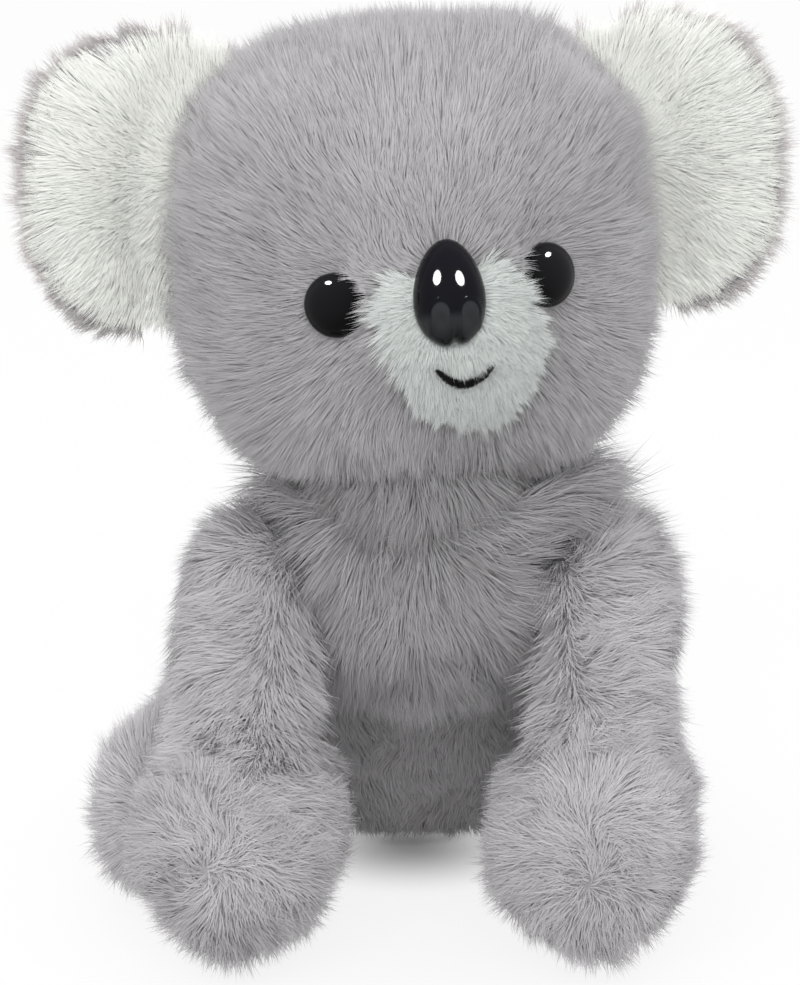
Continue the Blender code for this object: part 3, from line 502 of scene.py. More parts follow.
PAW_HALF_WIDTH, PAW_HALF_HEIGHT, PAW_LENGTH = 0.0232, 0.0228, 0.0235
ARM_SLOPE = math.atan2(PAW_FORWARD + SHOULDER[0], SHOULDER[1] - PAW_HALF_HEIGHT)
ARM_SWING = (ARM_SLOPE - 0.035, ARM_SLOPE + 0.87)


def smooth_rows(rows, steps):
    """A Catmull-Rom curve through rows, with steps - 1 new rows between each two."""
    rows = np.asarray(rows, float)
    padded = np.vstack([2 * rows[0] - rows[1], rows, 2 * rows[-1] - rows[-2]])
    before, here, there, after = padded[:-3], padded[1:-2], padded[2:-1], padded[3:]
    share = np.linspace(0.0, 1.0, steps, endpoint=False)[:, None, None]
    bend = 2 * here + (there - before) * share
    bend = bend + (2 * before - 5 * here + 4 * there - after) * share**2
    bend = bend + (3 * here - before - 3 * there + after) * share**3
    return np.vstack([(bend / 2).transpose(1, 0, 2).reshape(-1, rows.shape[1]), rows[-1]])


def torso_rings(around=120):
    """Ovals at each level: half widths and depths, moved forward and aside."""
    rows = smooth_rows(np.array([LEVELS, WIDTHS, DEPTHS, FORWARDS, ASIDES]).T, 6)
    z = (rows[:, 0] * (TORSO_HEIGHT + SETTLE) - SETTLE)[:, None]
    turn = full_turn(around)[None, :]
    x = TORSO_HALF_WIDTH * rows[:, 1, None] * np.cos(turn) + SHOULDERS_ASIDE * rows[:, 4, None]
    y = TORSO_HALF_DEPTH * rows[:, 2, None] * np.sin(turn) - HEAD_FORWARD * rows[:, 3, None]
    return np.stack([x, y, z + 0 * turn], axis=-1)


def cap_rings(ring, centre, count):
    """Rings that shrink from an end ring to its centre, so that an end can be pressed in."""
    shares = np.linspace(1.0, 0.0, count + 1)[1:-1, None, None]
    return centre + (ring - centre) * shares


def in_swing(points, pivot, radius, low, high):
    """True where a leg swings: in a disc about its pivot, or between the two ends of its swing."""
    away = points[:, 1:] - pivot
    near = np.hypot(away[:, 0], away[:, 1]) < radius
    angle = np.arctan2(-away[:, 0], -away[:, 1])
    beside = np.zeros(len(points), bool)
    for edge in (low, high):
        ahead = np.array([-math.sin(edge), -math.cos(edge)])
        aside = np.array([-ahead[1], ahead[0]])
        beside |= (np.abs(away @ aside) < radius) & (away @ ahead > 0)
    return near | beside | ((angle > low) & (angle < high))


def body_room(points):
    """Presses in the bowl, the neck's socket and the flats beside the legs."""
    flat = (points[:, 0] - BOWL_CENTRE[0]) ** 2 + (points[:, 1] - BOWL_CENTRE[1]) ** 2
    dip = np.sqrt(np.clip(1.0 - flat / BOWL_RADII[0] ** 2, 0.0, None))
    bowl = BOWL_CENTRE[2] - BOWL_RADII[2] * dip - PRESSED_DEPTH
    points[:, 2] = np.minimum(points[:, 2], np.where(flat < BOWL_RADII[0] ** 2, bowl, 1.0))
    away = points - NECK_PIVOT
    ball = NECK_PIVOT[2] - np.sqrt(np.clip(NECK_ROOM**2 - away[:, 0] ** 2 - away[:, 1] ** 2, 0.0, None))
    near = np.hypot(away[:, 0], away[:, 1]) < NECK_ROOM
    points[:, 2] = np.where(near, np.minimum(points[:, 2], ball), points[:, 2])
    for side in (-1.0, 1.0):
        arm = in_swing(points, SHOULDER, SHOULDER_ROOM, *ARM_SWING)
        flat = SHOULDERS_ASIDE + side * (CHEST_HALF_WIDTH - PRESSED_DEPTH)
        points[arm, 0] = np.minimum(side * points[arm, 0], side * flat) * side
        leg = in_swing(points, HIP, HIP_ROOM, math.pi / 2, math.pi / 2)
        flat = side * (HIP_INNER - PRESSED_DEPTH)
        points[leg, 0] = np.minimum(side * points[leg, 0], side * flat) * side
    return points


rings = torso_rings()
seat = np.array([0.0, 0.0, -SETTLE])
top = np.array([1.5 * SHOULDERS_ASIDE, -0.91 * HEAD_FORWARD, TORSO_HEIGHT])
rings = np.concatenate([cap_rings(rings[0], seat, 4)[::-1], rings, cap_rings(rings[-1], top, 8)])
body_skin = ring_surface("body_skin", seat, rings, top)
stuffed(body_skin, under_rim, room=body_room)

# %% [markdown]
# ## The legs' forms
#
# Each leg is a tube along a curve: its section is an oval whose two half sizes
# change smoothly from the shoulder or haunch to the paw, and each end is a
# quarter circle. The side that lies on the body is flat.

# %% Leg forms
ARM_HALF_WIDTH, SHOULDER_RADIUS = 0.0175, 0.0172
SHOULDER_OUT, HIP_OUT, HIP_RADIUS = 0.0380, 0.0440, 0.0250
HAUNCH_HALF_WIDTH, ANKLE_HALF_WIDTH, ANKLE_HALF_HEIGHT = 0.0150, 0.0142, 0.0195
FOOT_OUT, FOOT_FORWARD = 0.0590, 0.0565
FOOT_HALF_WIDTH, FOOT_HALF_HEIGHT, FOOT_LENGTH = 0.0155, 0.0232, 0.0160
FOOT_TUCK_IN, FOOT_TUCK_BACK = 0.0125, 0.0065
SIDES = {"left": -1.0, "right": 1.0}


def arm_plane(side):
    """Where the flat between an arm and the chest lies, across the toy."""
    return SHOULDERS_ASIDE + side * CHEST_HALF_WIDTH


def limb_rings(corners, start_cap, end_cap, widths, heights, around=80, steps=14):
    """Rings about a cubic curve with four corners: ovals, closed by a quarter circle at each end."""
    p0, p1, p2, p3 = (np.asarray(corner, float) for corner in corners)
    t = np.linspace(0.0, 1.0, 400)[:, None]
    fine = (1 - t) ** 3 * p0 + 3 * (1 - t) ** 2 * t * p1 + 3 * (1 - t) * t**2 * p2 + t**3 * p3
    along = np.concatenate([[0.0], np.cumsum(np.linalg.norm(np.diff(fine, axis=0), axis=1))])
    length = along[-1]
    quarter = np.linspace(0.0, math.pi / 2, steps + 1)[1:]
    first = start_cap * (1.0 - np.cos(quarter))
    last = length - end_cap * (1.0 - np.cos(quarter))[::-1]
    middle = np.linspace(first[-1], last[0], 2 * steps)[1:-1]
    place = np.concatenate([first, middle, last])
    cap = np.concatenate([np.sin(quarter), np.ones(len(middle)), np.sin(quarter)[::-1]])
    centre = np.stack([np.interp(place, along, fine[:, axis]) for axis in range(3)], axis=-1)
    ahead = np.gradient(centre, axis=0)
    ahead[:, 0] = 0.0
    up = np.cross(unit(ahead), (1.0, 0.0, 0.0))
    share = smooth(first[-1], last[0], place)
    half_width = (np.interp(share, (0.0, 0.5, 1.0), widths) * cap)[:, None, None]
    half_height = (np.interp(share, (0.0, 0.5, 1.0), heights) * cap)[:, None, None]
    turn = full_turn(around)[None, :, None]
    across = half_width * np.cos(turn) * np.array([1.0, 0.0, 0.0])
    return fine[0], centre[:, None] + across + half_height * np.sin(turn) * up[:, None], fine[-1]


def front_leg_rings(side):
    """From the ball of the shoulder down the arm and forward into the round paw."""
    down = np.array([0.0, -math.sin(ARM_SLOPE), -math.cos(ARM_SLOPE)])
    shoulder = np.array([SHOULDERS_ASIDE + side * SHOULDER_OUT, *SHOULDER])
    paw = np.array([side * PAW_OUT, -PAW_FORWARD, PAW_HALF_HEIGHT - SETTLE])
    corners = (
        shoulder - SHOULDER_RADIUS * down,
        shoulder + (SHOULDER_RADIUS + ARM_HALF_WIDTH / 2) * down,
        paw + np.array([0.0, PAW_LENGTH / 3, 0.0]),
        paw - np.array([0.0, PAW_LENGTH, 0.0]),
    )
    widths = (SHOULDER_RADIUS, ARM_HALF_WIDTH, PAW_HALF_WIDTH)
    heights = (SHOULDER_RADIUS, ARM_HALF_WIDTH, PAW_HALF_HEIGHT)
    return limb_rings(corners, SHOULDER_RADIUS, PAW_LENGTH, widths, heights)


def hind_leg_rings(side):
    """From the haunch beside the seat forward to the foot; the right foot is tucked in."""
    out = FOOT_OUT - (FOOT_TUCK_IN if side > 0 else 0.0)
    forward = FOOT_FORWARD - (FOOT_TUCK_BACK if side > 0 else 0.0)
    foot_height = FOOT_HALF_HEIGHT - SETTLE
    corners = (
        np.array([side * HIP_OUT, HIP[0] + HIP_RADIUS, HIP[1]]),
        np.array([side * HIP_OUT, HIP[0] - HIP_RADIUS / 2, HIP[1]]),
        np.array([side * out, -forward + FOOT_LENGTH, foot_height]),
        np.array([side * out, -forward - FOOT_LENGTH, foot_height]),
    )
    widths = (HAUNCH_HALF_WIDTH, ANKLE_HALF_WIDTH, FOOT_HALF_WIDTH)
    heights = (HIP_RADIUS, ANKLE_HALF_HEIGHT, FOOT_HALF_HEIGHT)
    return limb_rings(corners, HIP_RADIUS, FOOT_LENGTH, widths, heights)


def flat_inside(side, plane, middle, radius):
    """Presses a leg flat on the body's side of a plane, within a radius of the seam's middle."""

    def room(points):
        near = np.hypot(points[:, 1] - middle[0], points[:, 2] - middle[1]) < radius
        limit = side * plane + 0.0005 + PRESSED_DEPTH
        pressed = np.maximum(side * points[:, 0], limit) * side
        points[:, 0] = np.where(near, pressed, points[:, 0])
        return points

    return room


leg_skins = {}
for name, side in SIDES.items():
    for leg, shape, plane, middle, radius in (
        ("front", front_leg_rings, arm_plane(side), SHOULDER, 0.040),
        ("hind", hind_leg_rings, side * HIP_INNER, HIP, 0.060),
    ):
        thing = ring_surface(f"{name}_{leg}_leg_skin_pad", *shape(side))
        leg_skins[f"{name}_{leg}_leg"] = stuffed(thing, room=flat_inside(side, plane, middle, radius))

# %% [markdown]
# ## The ears' forms
#
# An ear is a flat pad with a rounded square outline, thin where it is sewn to
# the head and cupped forward at its outer edge. The white panel is a thinner
# pad of its own that lies in the front of the grey one.

# %% Ear forms
EAR_HALF_WIDTH, EAR_HALF_HEIGHT, EAR_OUT, EAR_BACK = 0.0310, 0.0350, 0.0530, 0.0060
EAR_RISE = {"left": 0.0178, "right": 0.0148}
EAR_THICK, EAR_ROOT_THICK, EAR_SWELL_LENGTH, EAR_CUP, EAR_RIM = 0.0068, 0.0012, 0.0170, 0.0040, 0.0062
EAR_SQUARENESS = 2.5
EAR_PILE = 0.0036


def ear_rings(name, inset, front_lift, back_lift, around=96):
    """Shrinking outlines on the ear's front, then growing ones on its back."""
    side = SIDES[name]
    turn = full_turn(around)
    power = EAR_SQUARENESS
    reach = (np.abs(np.cos(turn)) ** power + np.abs(np.sin(turn)) ** power) ** (-1.0 / power)
    x = (EAR_HALF_WIDTH - inset) * reach * np.cos(turn)
    z = (EAR_HALF_HEIGHT - inset) * reach * np.sin(turn)
    shares = np.sin(np.linspace(0.0, math.pi / 2, 13))[:, None]
    across, up = EAR_OUT + x * shares, EAR_RISE[name] + z * shares
    from_head = np.sqrt(head_front(across, up) + (EAR_BACK / HEAD_HALF_DEPTH) ** 2)
    gap = (from_head - 1.0) * HEAD_HALF_WIDTH
    swell = smooth(0.0, EAR_SWELL_LENGTH, gap)
    thick = EAR_ROOT_THICK + (EAR_THICK - EAR_ROOT_THICK) * swell
    round_share = np.sqrt(np.clip(1.0 - shares**3, 0.0, 1.0))
    cup = EAR_CUP * np.clip((across - EAR_OUT) / EAR_HALF_WIDTH, 0.0, 1.0) ** 2
    faces = []
    for face, lift in ((-1.0, front_lift), (1.0, back_lift)):
        half = np.maximum(thick - lift, 0.0004)
        y = EAR_BACK + face * half * round_share - cup
        faces.append(head_world(np.stack([side * across, y, up], axis=-1)))
    front, back = faces
    return front[0, 0], np.concatenate([front[1:], back[-2:0:-1]]), back[0, 0]


ear_skins, ear_whites = {}, {}
for name in SIDES:
    thing = ring_surface(f"{name}_ear_skin_pad", *ear_rings(name, 0.0030, EAR_PILE, EAR_PILE))
    even_mesh(thing, 0.0014)
    rounder(thing)
    ear_skins[name] = thing
    rings = ear_rings(name, 0.0075, EAR_PILE - 0.0005, EAR_PILE + 0.0010)
    ear_whites[name] = ring_surface(f"{name}_ear_white_pad", *rings)
    print(name, "ear:", len(ear_skins[name].data.polygons), "faces")

# %% [markdown]
# ## The face's buttons
#
# Safety eyes and a safety nose are domes on a shank that goes through the
# backing into a washer. Each one sits on the backing, faces straight out of the
# head there, and stands up through the pile. The nose is moulded with two
# nostril arches, hollows under them, and a groove that ends in a notch.

# %% Buttons
BUTTON_SEAT, SHANK_LENGTH, BUTTON_FLANGE = 0.0040, 0.0130, 0.0012
EYE = {"half_width": 0.0066, "half_height": 0.0066, "rise": 0.0052, "taper": 0.0, "shank": 0.0022}
NOSE = {"half_width": 0.0077, "half_height": 0.0108, "rise": 0.0085, "taper": 0.26, "shank": 0.0026}
BUTTONS = {
    "left_eye": (-0.0225, -0.0028, EYE),
    "right_eye": (0.0238, 0.0005, EYE),
    "nose": (0.0005, 0.0004, NOSE),
}
ARCH_MIDDLE, ARCH_ASIDE, ARCH_DROP = 0.0007, 0.0030, 0.0048


def face_place(x, z, step=0.0022):
    """A place on the face and the direction straight out of it, in the head's own frame."""
    x, z = np.asarray(x, float), np.asarray(z, float)
    far, none = 2 * step + 0 * x, 0 * x
    right = np.stack([far, face_surface(x + step, z) - face_surface(x - step, z), none], axis=-1)
    up = np.stack([none, face_surface(x, z + step) - face_surface(x, z - step), far], axis=-1)
    return np.stack([x, face_surface(x, z), z], axis=-1), unit(np.cross(right, up))


def button_frame(x, z):
    """A button's seat on the backing, and its three axes: right, up and out."""
    place, out = face_place(x, z)
    right = unit(np.cross((0.0, 0.0, 1.0), out))
    return place - BUTTON_SEAT * out, np.stack([right, np.cross(out, right), out])


def nose_relief(x, y):
    """Ridges along two arches, a hollow in each, a groove between them and a notch at the bottom."""
    x = x - ARCH_MIDDLE
    across, over = np.abs(x) - ARCH_ASIDE, y + ARCH_DROP
    to_arch = np.abs(np.where(over > 0, np.hypot(across, 0.8 * over), np.abs(across)) - 0.0021)
    arch = np.exp(-((to_arch / 0.00055) ** 2)) * smooth(-0.0092, -0.0074, y)
    hollow = np.exp(-((across / 0.0011) ** 2) - ((y + 0.0062) / 0.0018) ** 2)
    groove = np.exp(-((x / 0.00070) ** 2)) * (1.0 - smooth(-0.0052, -0.0028, y))
    notch = np.exp(-((x / 0.0011) ** 2) - ((y + 0.0112) / 0.0016) ** 2)
    return 0.00014 * arch - 0.00034 * hollow - 0.00016 * groove - 0.0009 * notch


def nose_painted_reflection(x, y):
    """1 inside the two arches and nearly 1 below them, where the nose's face gets a painted reflection."""
    across, over = np.abs(x - ARCH_MIDDLE) - ARCH_ASIDE, y + ARCH_DROP
    away = np.where(over > 0, np.hypot(across, 0.8 * over), np.abs(across))
    return np.maximum(1.0 - smooth(0.0016, 0.0020, away), 0.8 * (1.0 - smooth(-0.0062, -0.0040, y)))


def button_rings(size, relief=None, rows=36, around=96):
    """The shank, the flat back, and a dome whose reach and height are a quarter circle's."""
    bend = np.linspace(0.0, math.pi / 2, rows + 1)[:-1, None]
    turn = full_turn(around)[None, :]
    narrow = 1.0 - size["taper"] * (1.0 + np.sin(turn)) / 2.0 + size["taper"] / 4.0
    x = size["half_width"] * np.cos(bend) * np.cos(turn) * narrow
    y = size["half_height"] * np.cos(bend) * np.sin(turn) + 0 * narrow
    z = BUTTON_FLANGE + (size["rise"] - BUTTON_FLANGE) * np.sin(bend) + 0 * turn
    dome = np.stack([x, y, z], axis=-1)
    tip = np.array([0.0, 0.0, size["rise"]])
    if relief is not None:
        scale = np.array([size["half_width"], size["half_height"], size["rise"]])
        dome = dome + relief(x, y)[..., None] * unit(dome / scale**2)
    base = dome[0] * np.array([1.0, 1.0, 0.0])
    ring = size["shank"] * np.stack([np.cos(turn[0]), np.sin(turn[0]), 0 * turn[0]], axis=-1)
    under = np.array([0.0, 0.0, -SHANK_LENGTH])
    return under, np.concatenate([[ring + under, ring, base], dome]), tip


def paint_reflection_share(thing, seat, axes):
    """Writes the painted reflection's share on a button's points, where its material reads it."""
    local = (head_own(points_of(thing)) - seat) @ axes.T
    painted_reflection = thing.data.attributes.new("painted_reflection", "FLOAT", "POINT")
    painted_reflection.data.foreach_set("value", nose_painted_reflection(local[:, 0], local[:, 1]).astype(np.float32))


buttons, button_frames = {}, {}
for name, (x, z, size) in BUTTONS.items():
    seat, axes = button_frame(x, z)
    button_frames[name] = (seat, axes, size)
    detail = (nose_relief, 90, 240) if name == "nose" else (None, 36, 96)
    under, rings, tip = button_rings(size, *detail)
    parts = [head_world(seat + part @ axes) for part in (under, rings, tip)]
    buttons[name] = ring_surface(f"{name}_button", *parts)
    print(name, "at", np.round(1000 * parts[2], 1), "mm")

paint_reflection_share(buttons["nose"], *button_frames["nose"][:2])

# %% [markdown]
# ## The muzzle's pad and the mouth
#
# The white patch is a thin pad on the face, and its uneven outline goes through
# a row of points. The smile is a row of black stitches on it: a ridged cord that
# is thickest in the middle, with loose fibres standing off it.

# %% Muzzle and mouth forms
MUZZLE_OUTLINE = 0.001 * np.array([
    (-12.8, 4.2), (-14.6, -3.1), (-11.9, -12.8), (-9.3, -21.1), (-6.0, -27.0), (1.9, -29.6),
    (11.0, -30.8), (15.2, -29.6), (18.6, -22.8), (22.2, -14.4), (18.8, -4.1), (14.3, 3.8),
    (10.2, 7.6), (5.1, 5.6), (-0.8, 6.0), (-6.8, 5.1),
])
MOUTH_ASIDE, MOUTH_HALF_WIDTH, MOUTH_DROP, MOUTH_SAG = 0.0030, 0.0056, 0.0155, 0.0034


def muzzle_reach(x, z):
    """How far the patch's outline lies from its middle, in the direction of a place."""
    away = MUZZLE_OUTLINE - (MUZZLE_ASIDE, -MUZZLE_DROP)
    angles, reaches = np.arctan2(away[:, 1], away[:, 0]), np.hypot(away[:, 0], away[:, 1])
    way = np.arctan2(z + MUZZLE_DROP, x - MUZZLE_ASIDE)
    return np.interp(way, angles, reaches, period=2 * math.pi)


def muzzle_rings(inset=0.0028, rows=22, around=96):
    """Growing outlines on the patch's front, then shrinking ones on its back."""
    turn = full_turn(around)
    reach = muzzle_reach(MUZZLE_ASIDE + np.cos(turn), -MUZZLE_DROP + np.sin(turn)) - inset
    shares = np.linspace(0.0, 1.0, rows)[:, None]
    x = MUZZLE_ASIDE + shares * reach * np.cos(turn)
    z = -MUZZLE_DROP + shares * reach * np.sin(turn)
    crown = np.sqrt(np.clip(1.0 - shares**4, 0.0, 1.0))
    front = np.stack([x, face_surface(x, z) + 0.0042 - 0.0013 * crown, z], axis=-1)
    back = np.stack([x, face_surface(x, z) + 0.0042 + 0.0004 * crown, z], axis=-1)
    rings = np.concatenate([front[1:], back[-2:0:-1]])
    return head_world(front[0, 0]), head_world(rings), head_world(back[0, 0])


def mouth_line(count, depth):
    """Places along the smile, a parabola laid on the muzzle, and the directions out of it."""
    share = np.linspace(-1.0, 1.0, count)
    place, out = face_place(
        MOUTH_ASIDE + MOUTH_HALF_WIDTH * share, -MOUTH_DROP - MOUTH_SAG * (1.0 - share**2)
    )
    return share, place - depth * out, out


def mouth_rings(count=64, around=20):
    """A round cord whose radius swells to the middle, with ridges that wind along it."""
    share, line, out = mouth_line(count, -0.0002)
    ahead = unit(np.gradient(line, axis=0))
    side = unit(np.cross(ahead, out))
    turn = full_turn(around)[None, :]
    radius = 0.00034 * (1.0 - 0.70 * np.abs(share[:, None]) ** 2.2)
    radius = radius * (1.0 + 0.16 * np.cos(2 * turn + 40.0 * share[:, None]))
    across = np.cos(turn)[..., None] * side[:, None] + np.sin(turn)[..., None] * out[:, None]
    rings = line[:, None] + radius[..., None] * across
    return head_world(line[0]), head_world(rings), head_world(line[-1])


muzzle_skin = ring_surface("muzzle_skin", *muzzle_rings())
mouth_cord = ring_surface("mouth_cord", *mouth_rings())
print("muzzle pad and cord:", len(muzzle_skin.data.polygons), len(mouth_cord.data.polygons), "faces")

# %% [markdown]
# ## Pile
#
# Pile is not a texture: thousands of fine fibres stand on the backing, lean the
# way they were brushed, and stick together in tufts whose tips meet. Blender has
# hair for this, but hair is lost when a model is exported, so each strand here
# is a small ribbon of two faces that narrows to a point. A strand starts
# steeply and bends over. Its tuft gives it a shared turn, length and tone, and
# draws its tip to the tuft's middle.

# %% Noise and tufts
TABLE_SIZE = 4096


def slow_noise(points, size, seed):
    """A smooth field between about -1 and 1: the mean of seven sine waves in random directions."""
    rng = np.random.default_rng(seed)
    waves = unit(rng.normal(size=(7, 3))) * (2 * math.pi / size) * rng.uniform(0.7, 1.4, (7, 1))
    return np.sin(points @ waves.T + rng.uniform(0, 2 * math.pi, 7)).sum(axis=1) / 2.6


def tufts(points, size, seed):
    """The nearest of the middles that lie one in each cell of a grid, at random in its cell."""
    table = np.random.default_rng(seed).random((TABLE_SIZE, 3))
    cell = np.floor(points / size).astype(np.int64)
    nearest = np.full(len(points), np.inf)
    middle, number = np.zeros_like(points), np.zeros(len(points), np.int64)
    for step in np.ndindex(3, 3, 3):
        here = cell + np.array(step) - 1
        pick = (here[:, 0] * 73856093 ^ here[:, 1] * 19349663 ^ here[:, 2] * 83492791) % TABLE_SIZE
        spot = (here + table[pick]) * size
        gap = ((points - spot) ** 2).sum(axis=1)
        closer = gap < nearest
        nearest[closer], middle[closer], number[closer] = gap[closer], spot[closer], pick[closer]
    return middle, number


# %% Roots
def scatter(thing, count, seed, keep=None, bare=None):
    """Roots spread evenly over a surface by area, each with its normal; keep thins them out."""
    rng = np.random.default_rng(seed)
    mesh = thing.data
    mesh.calc_loop_triangles()
    corners = np.empty(len(mesh.loop_triangles) * 3, np.int32)
    mesh.loop_triangles.foreach_get("vertices", corners)
    corners = corners.reshape(-1, 3)
    points, normals = points_of(thing), normals_of(thing)
    a, b, c = (points[corners[:, i]] for i in range(3))
    area = np.linalg.norm(np.cross(b - a, c - a), axis=1) / 2
    if keep is not None:
        area = area * keep((a + b + c) / 3, unit(normals[corners].sum(axis=1)))
    total = np.cumsum(area)
    pick = np.searchsorted(total, (np.arange(count) + rng.random(count)) / count * total[-1])
    pick = np.minimum(pick, len(total) - 1)
    share = rng.random((count, 2))
    over = share.sum(axis=1) > 1
    share[over] = 1 - share[over]
    weights = np.stack([1 - share.sum(axis=1), share[:, 0], share[:, 1]], axis=1)[..., None]
    places = (points[corners[pick]] * weights).sum(axis=1)
    outwards = unit((normals[corners[pick]] * weights).sum(axis=1))
    if bare is None:
        return places, outwards
    grown = ~bare(places)
    return places[grown], outwards[grown]


# %% Strands
STRAND_SHARES = np.array([0.0, 0.52, 1.0])
STRAND_TAPER = np.array([1.0, 0.80])
STRAND_WIDTH = 0.00023
SHADE_BY_STRAND = 0.15
WIDE_TUFTS = 3.2
ROOT_DEPTH = 0.0003


def turned(flow, normals, angle):
    """A direction turned about the normal."""
    angle = np.asarray(angle)[:, None]
    return flow * np.cos(angle) + np.cross(normals, flow) * np.sin(angle)


def strand_paths(roots, normals, comb, rng, tuft_size, tuft_pull, sway, seed):
    """Three points on each strand, and its tone.

    The strand's direction goes evenly from its root's lift to its tip's, so its
    place is the sum of the two directions, weighted t - t*t/2 and t*t/2.
    """
    count = len(roots)
    flow = comb["flow"] - (comb["flow"] * normals).sum(axis=1, keepdims=True) * normals
    flow = unit(flow)
    sway = sway * comb.get("sway", 1.0)
    middle, number = tufts(roots, tuft_size, seed)
    fate = np.random.default_rng(seed + 1).random((TABLE_SIZE, 4))[number]
    _, wide_number = tufts(roots, WIDE_TUFTS * tuft_size, seed + 2)
    wide_fate = np.random.default_rng(seed + 3).random((TABLE_SIZE, 4))[wide_number]
    angle = sway * (1.0 * (fate[:, 0] - 0.5) + 1.1 * (wide_fate[:, 0] - 0.5))
    angle += sway * (0.5 * slow_noise(roots, 0.016, seed + 4) + 0.30 * rng.normal(size=count))
    flow = turned(flow, normals, angle)
    root_lift = comb["lift"] + 0.25 * (fate[:, 1] - 0.5) + 0.14 * rng.normal(size=count)
    tip_lift = comb["tip_lift"] + 0.45 * (wide_fate[:, 1] - 0.5) + 0.16 * rng.normal(size=count)
    root_lift, tip_lift = np.clip(root_lift, 0.2, 1.5)[:, None], np.clip(tip_lift, -0.5, 1.45)[:, None]
    start = flow * np.cos(root_lift) + normals * np.sin(root_lift)
    end = flow * np.cos(tip_lift) + normals * np.sin(tip_lift)
    length = comb["length"] * (0.80 + 0.30 * fate[:, 2]) * (1.0 + 0.10 * slow_noise(roots, 0.02, seed + 5))
    length = length * rng.uniform(0.78, 1.16, count)
    t = STRAND_SHARES[None, :, None]
    path = roots[:, None] - ROOT_DEPTH * normals[:, None]
    path = path + length[:, None, None] * (start[:, None] * (t - t * t / 2) + end[:, None] * t * t / 2)
    draw = middle - roots
    draw -= (draw * normals).sum(axis=1, keepdims=True) * normals
    draw *= np.minimum(1.0, tuft_size / np.maximum(np.linalg.norm(draw, axis=1, keepdims=True), 1e-9))
    path = path + tuft_pull * draw[:, None] * t**1.5
    tone = 0.5 + 0.13 * (fate[:, 3] - 0.5) + 0.10 * (wide_fate[:, 3] - 0.5)
    tone += 0.05 * slow_noise(roots, 0.03, seed + 6) + 0.07 * rng.normal(size=count)
    return path, tone + comb.get("tone", 0.0)


def strand_mesh(name, path, normals, tone, width, rng):
    """Ribbons along paths: a quad and a triangle each, with the skin's normal mixed in.

    The pattern map's first axis holds the strand's tone, and its second runs
    from the root at 0 to the tip at 1.
    """
    count = len(path)
    ahead = unit(path[:, 2] - path[:, 0])
    side = unit(np.cross(ahead, normals))
    twist = rng.uniform(-1.0, 1.0, (count, 1))
    across = side * np.cos(twist) + np.cross(ahead, side) * np.sin(twist)
    half = (width * rng.uniform(0.75, 1.2, count))[:, None, None] * STRAND_TAPER[None, :, None] / 2
    left, right = path[:, :2] - across[:, None] * half, path[:, :2] + across[:, None] * half
    points = np.concatenate([np.stack([left, right], axis=2).reshape(count, 4, 3), path[:, 2:]], axis=1)
    points[..., 2] = np.maximum(points[..., 2], 0.0002 + 0.0004 * rng.random((count, 1)))
    corners = np.array([0, 1, 3, 2, 2, 3, 4])
    loops = (5 * np.arange(count)[:, None] + corners).ravel()
    thing = mesh_object(name, points.reshape(-1, 3), loops, np.tile([4, 3], count))
    facing = unit(np.cross(across, ahead))
    shade = unit(normals * (1.0 - SHADE_BY_STRAND) + facing * SHADE_BY_STRAND)
    held = thing.data.attributes.new("custom_normal", "FLOAT_VECTOR", "POINT")
    held.data.foreach_set("vector", np.repeat(shade, 5, axis=0).astype(np.float32).ravel())
    u = np.clip(tone, 0.01, 0.99)[:, None] + np.array([-1, 1, -1, 1, 0]) * 0.004
    v = np.array([0.0, 0.0, STRAND_SHARES[1], STRAND_SHARES[1], 1.0])[None, :] + 0 * u
    pattern = np.stack([np.clip(u, 0.0, 1.0), v], axis=-1)[:, corners].reshape(-1, 2)
    layer = thing.data.uv_layers.new(name="OFBake")
    layer.data.foreach_set("uv", pattern.astype(np.float32).ravel())
    return thing


# %% [markdown]
# ## Finishes
#
# The pile is dyed evenly. The material paints it darker near its roots, as the
# shade where little light gets in, and lighter at its split tips, as a painted
# sheen; it mixes these along the strand, and each strand's tone shifts it. Fine
# fibres also let some light through to their far side. The eyes and the nose are
# polished black plastic, and the nose's lower face is painted a little lighter, as
# a painted reflection. The mouth is cotton thread, and the backing is a knitted
# cloth, painted darker than its pile as the shade deep between the strands.

# %% Pile finish
FIBRE_GLOW = 0.28


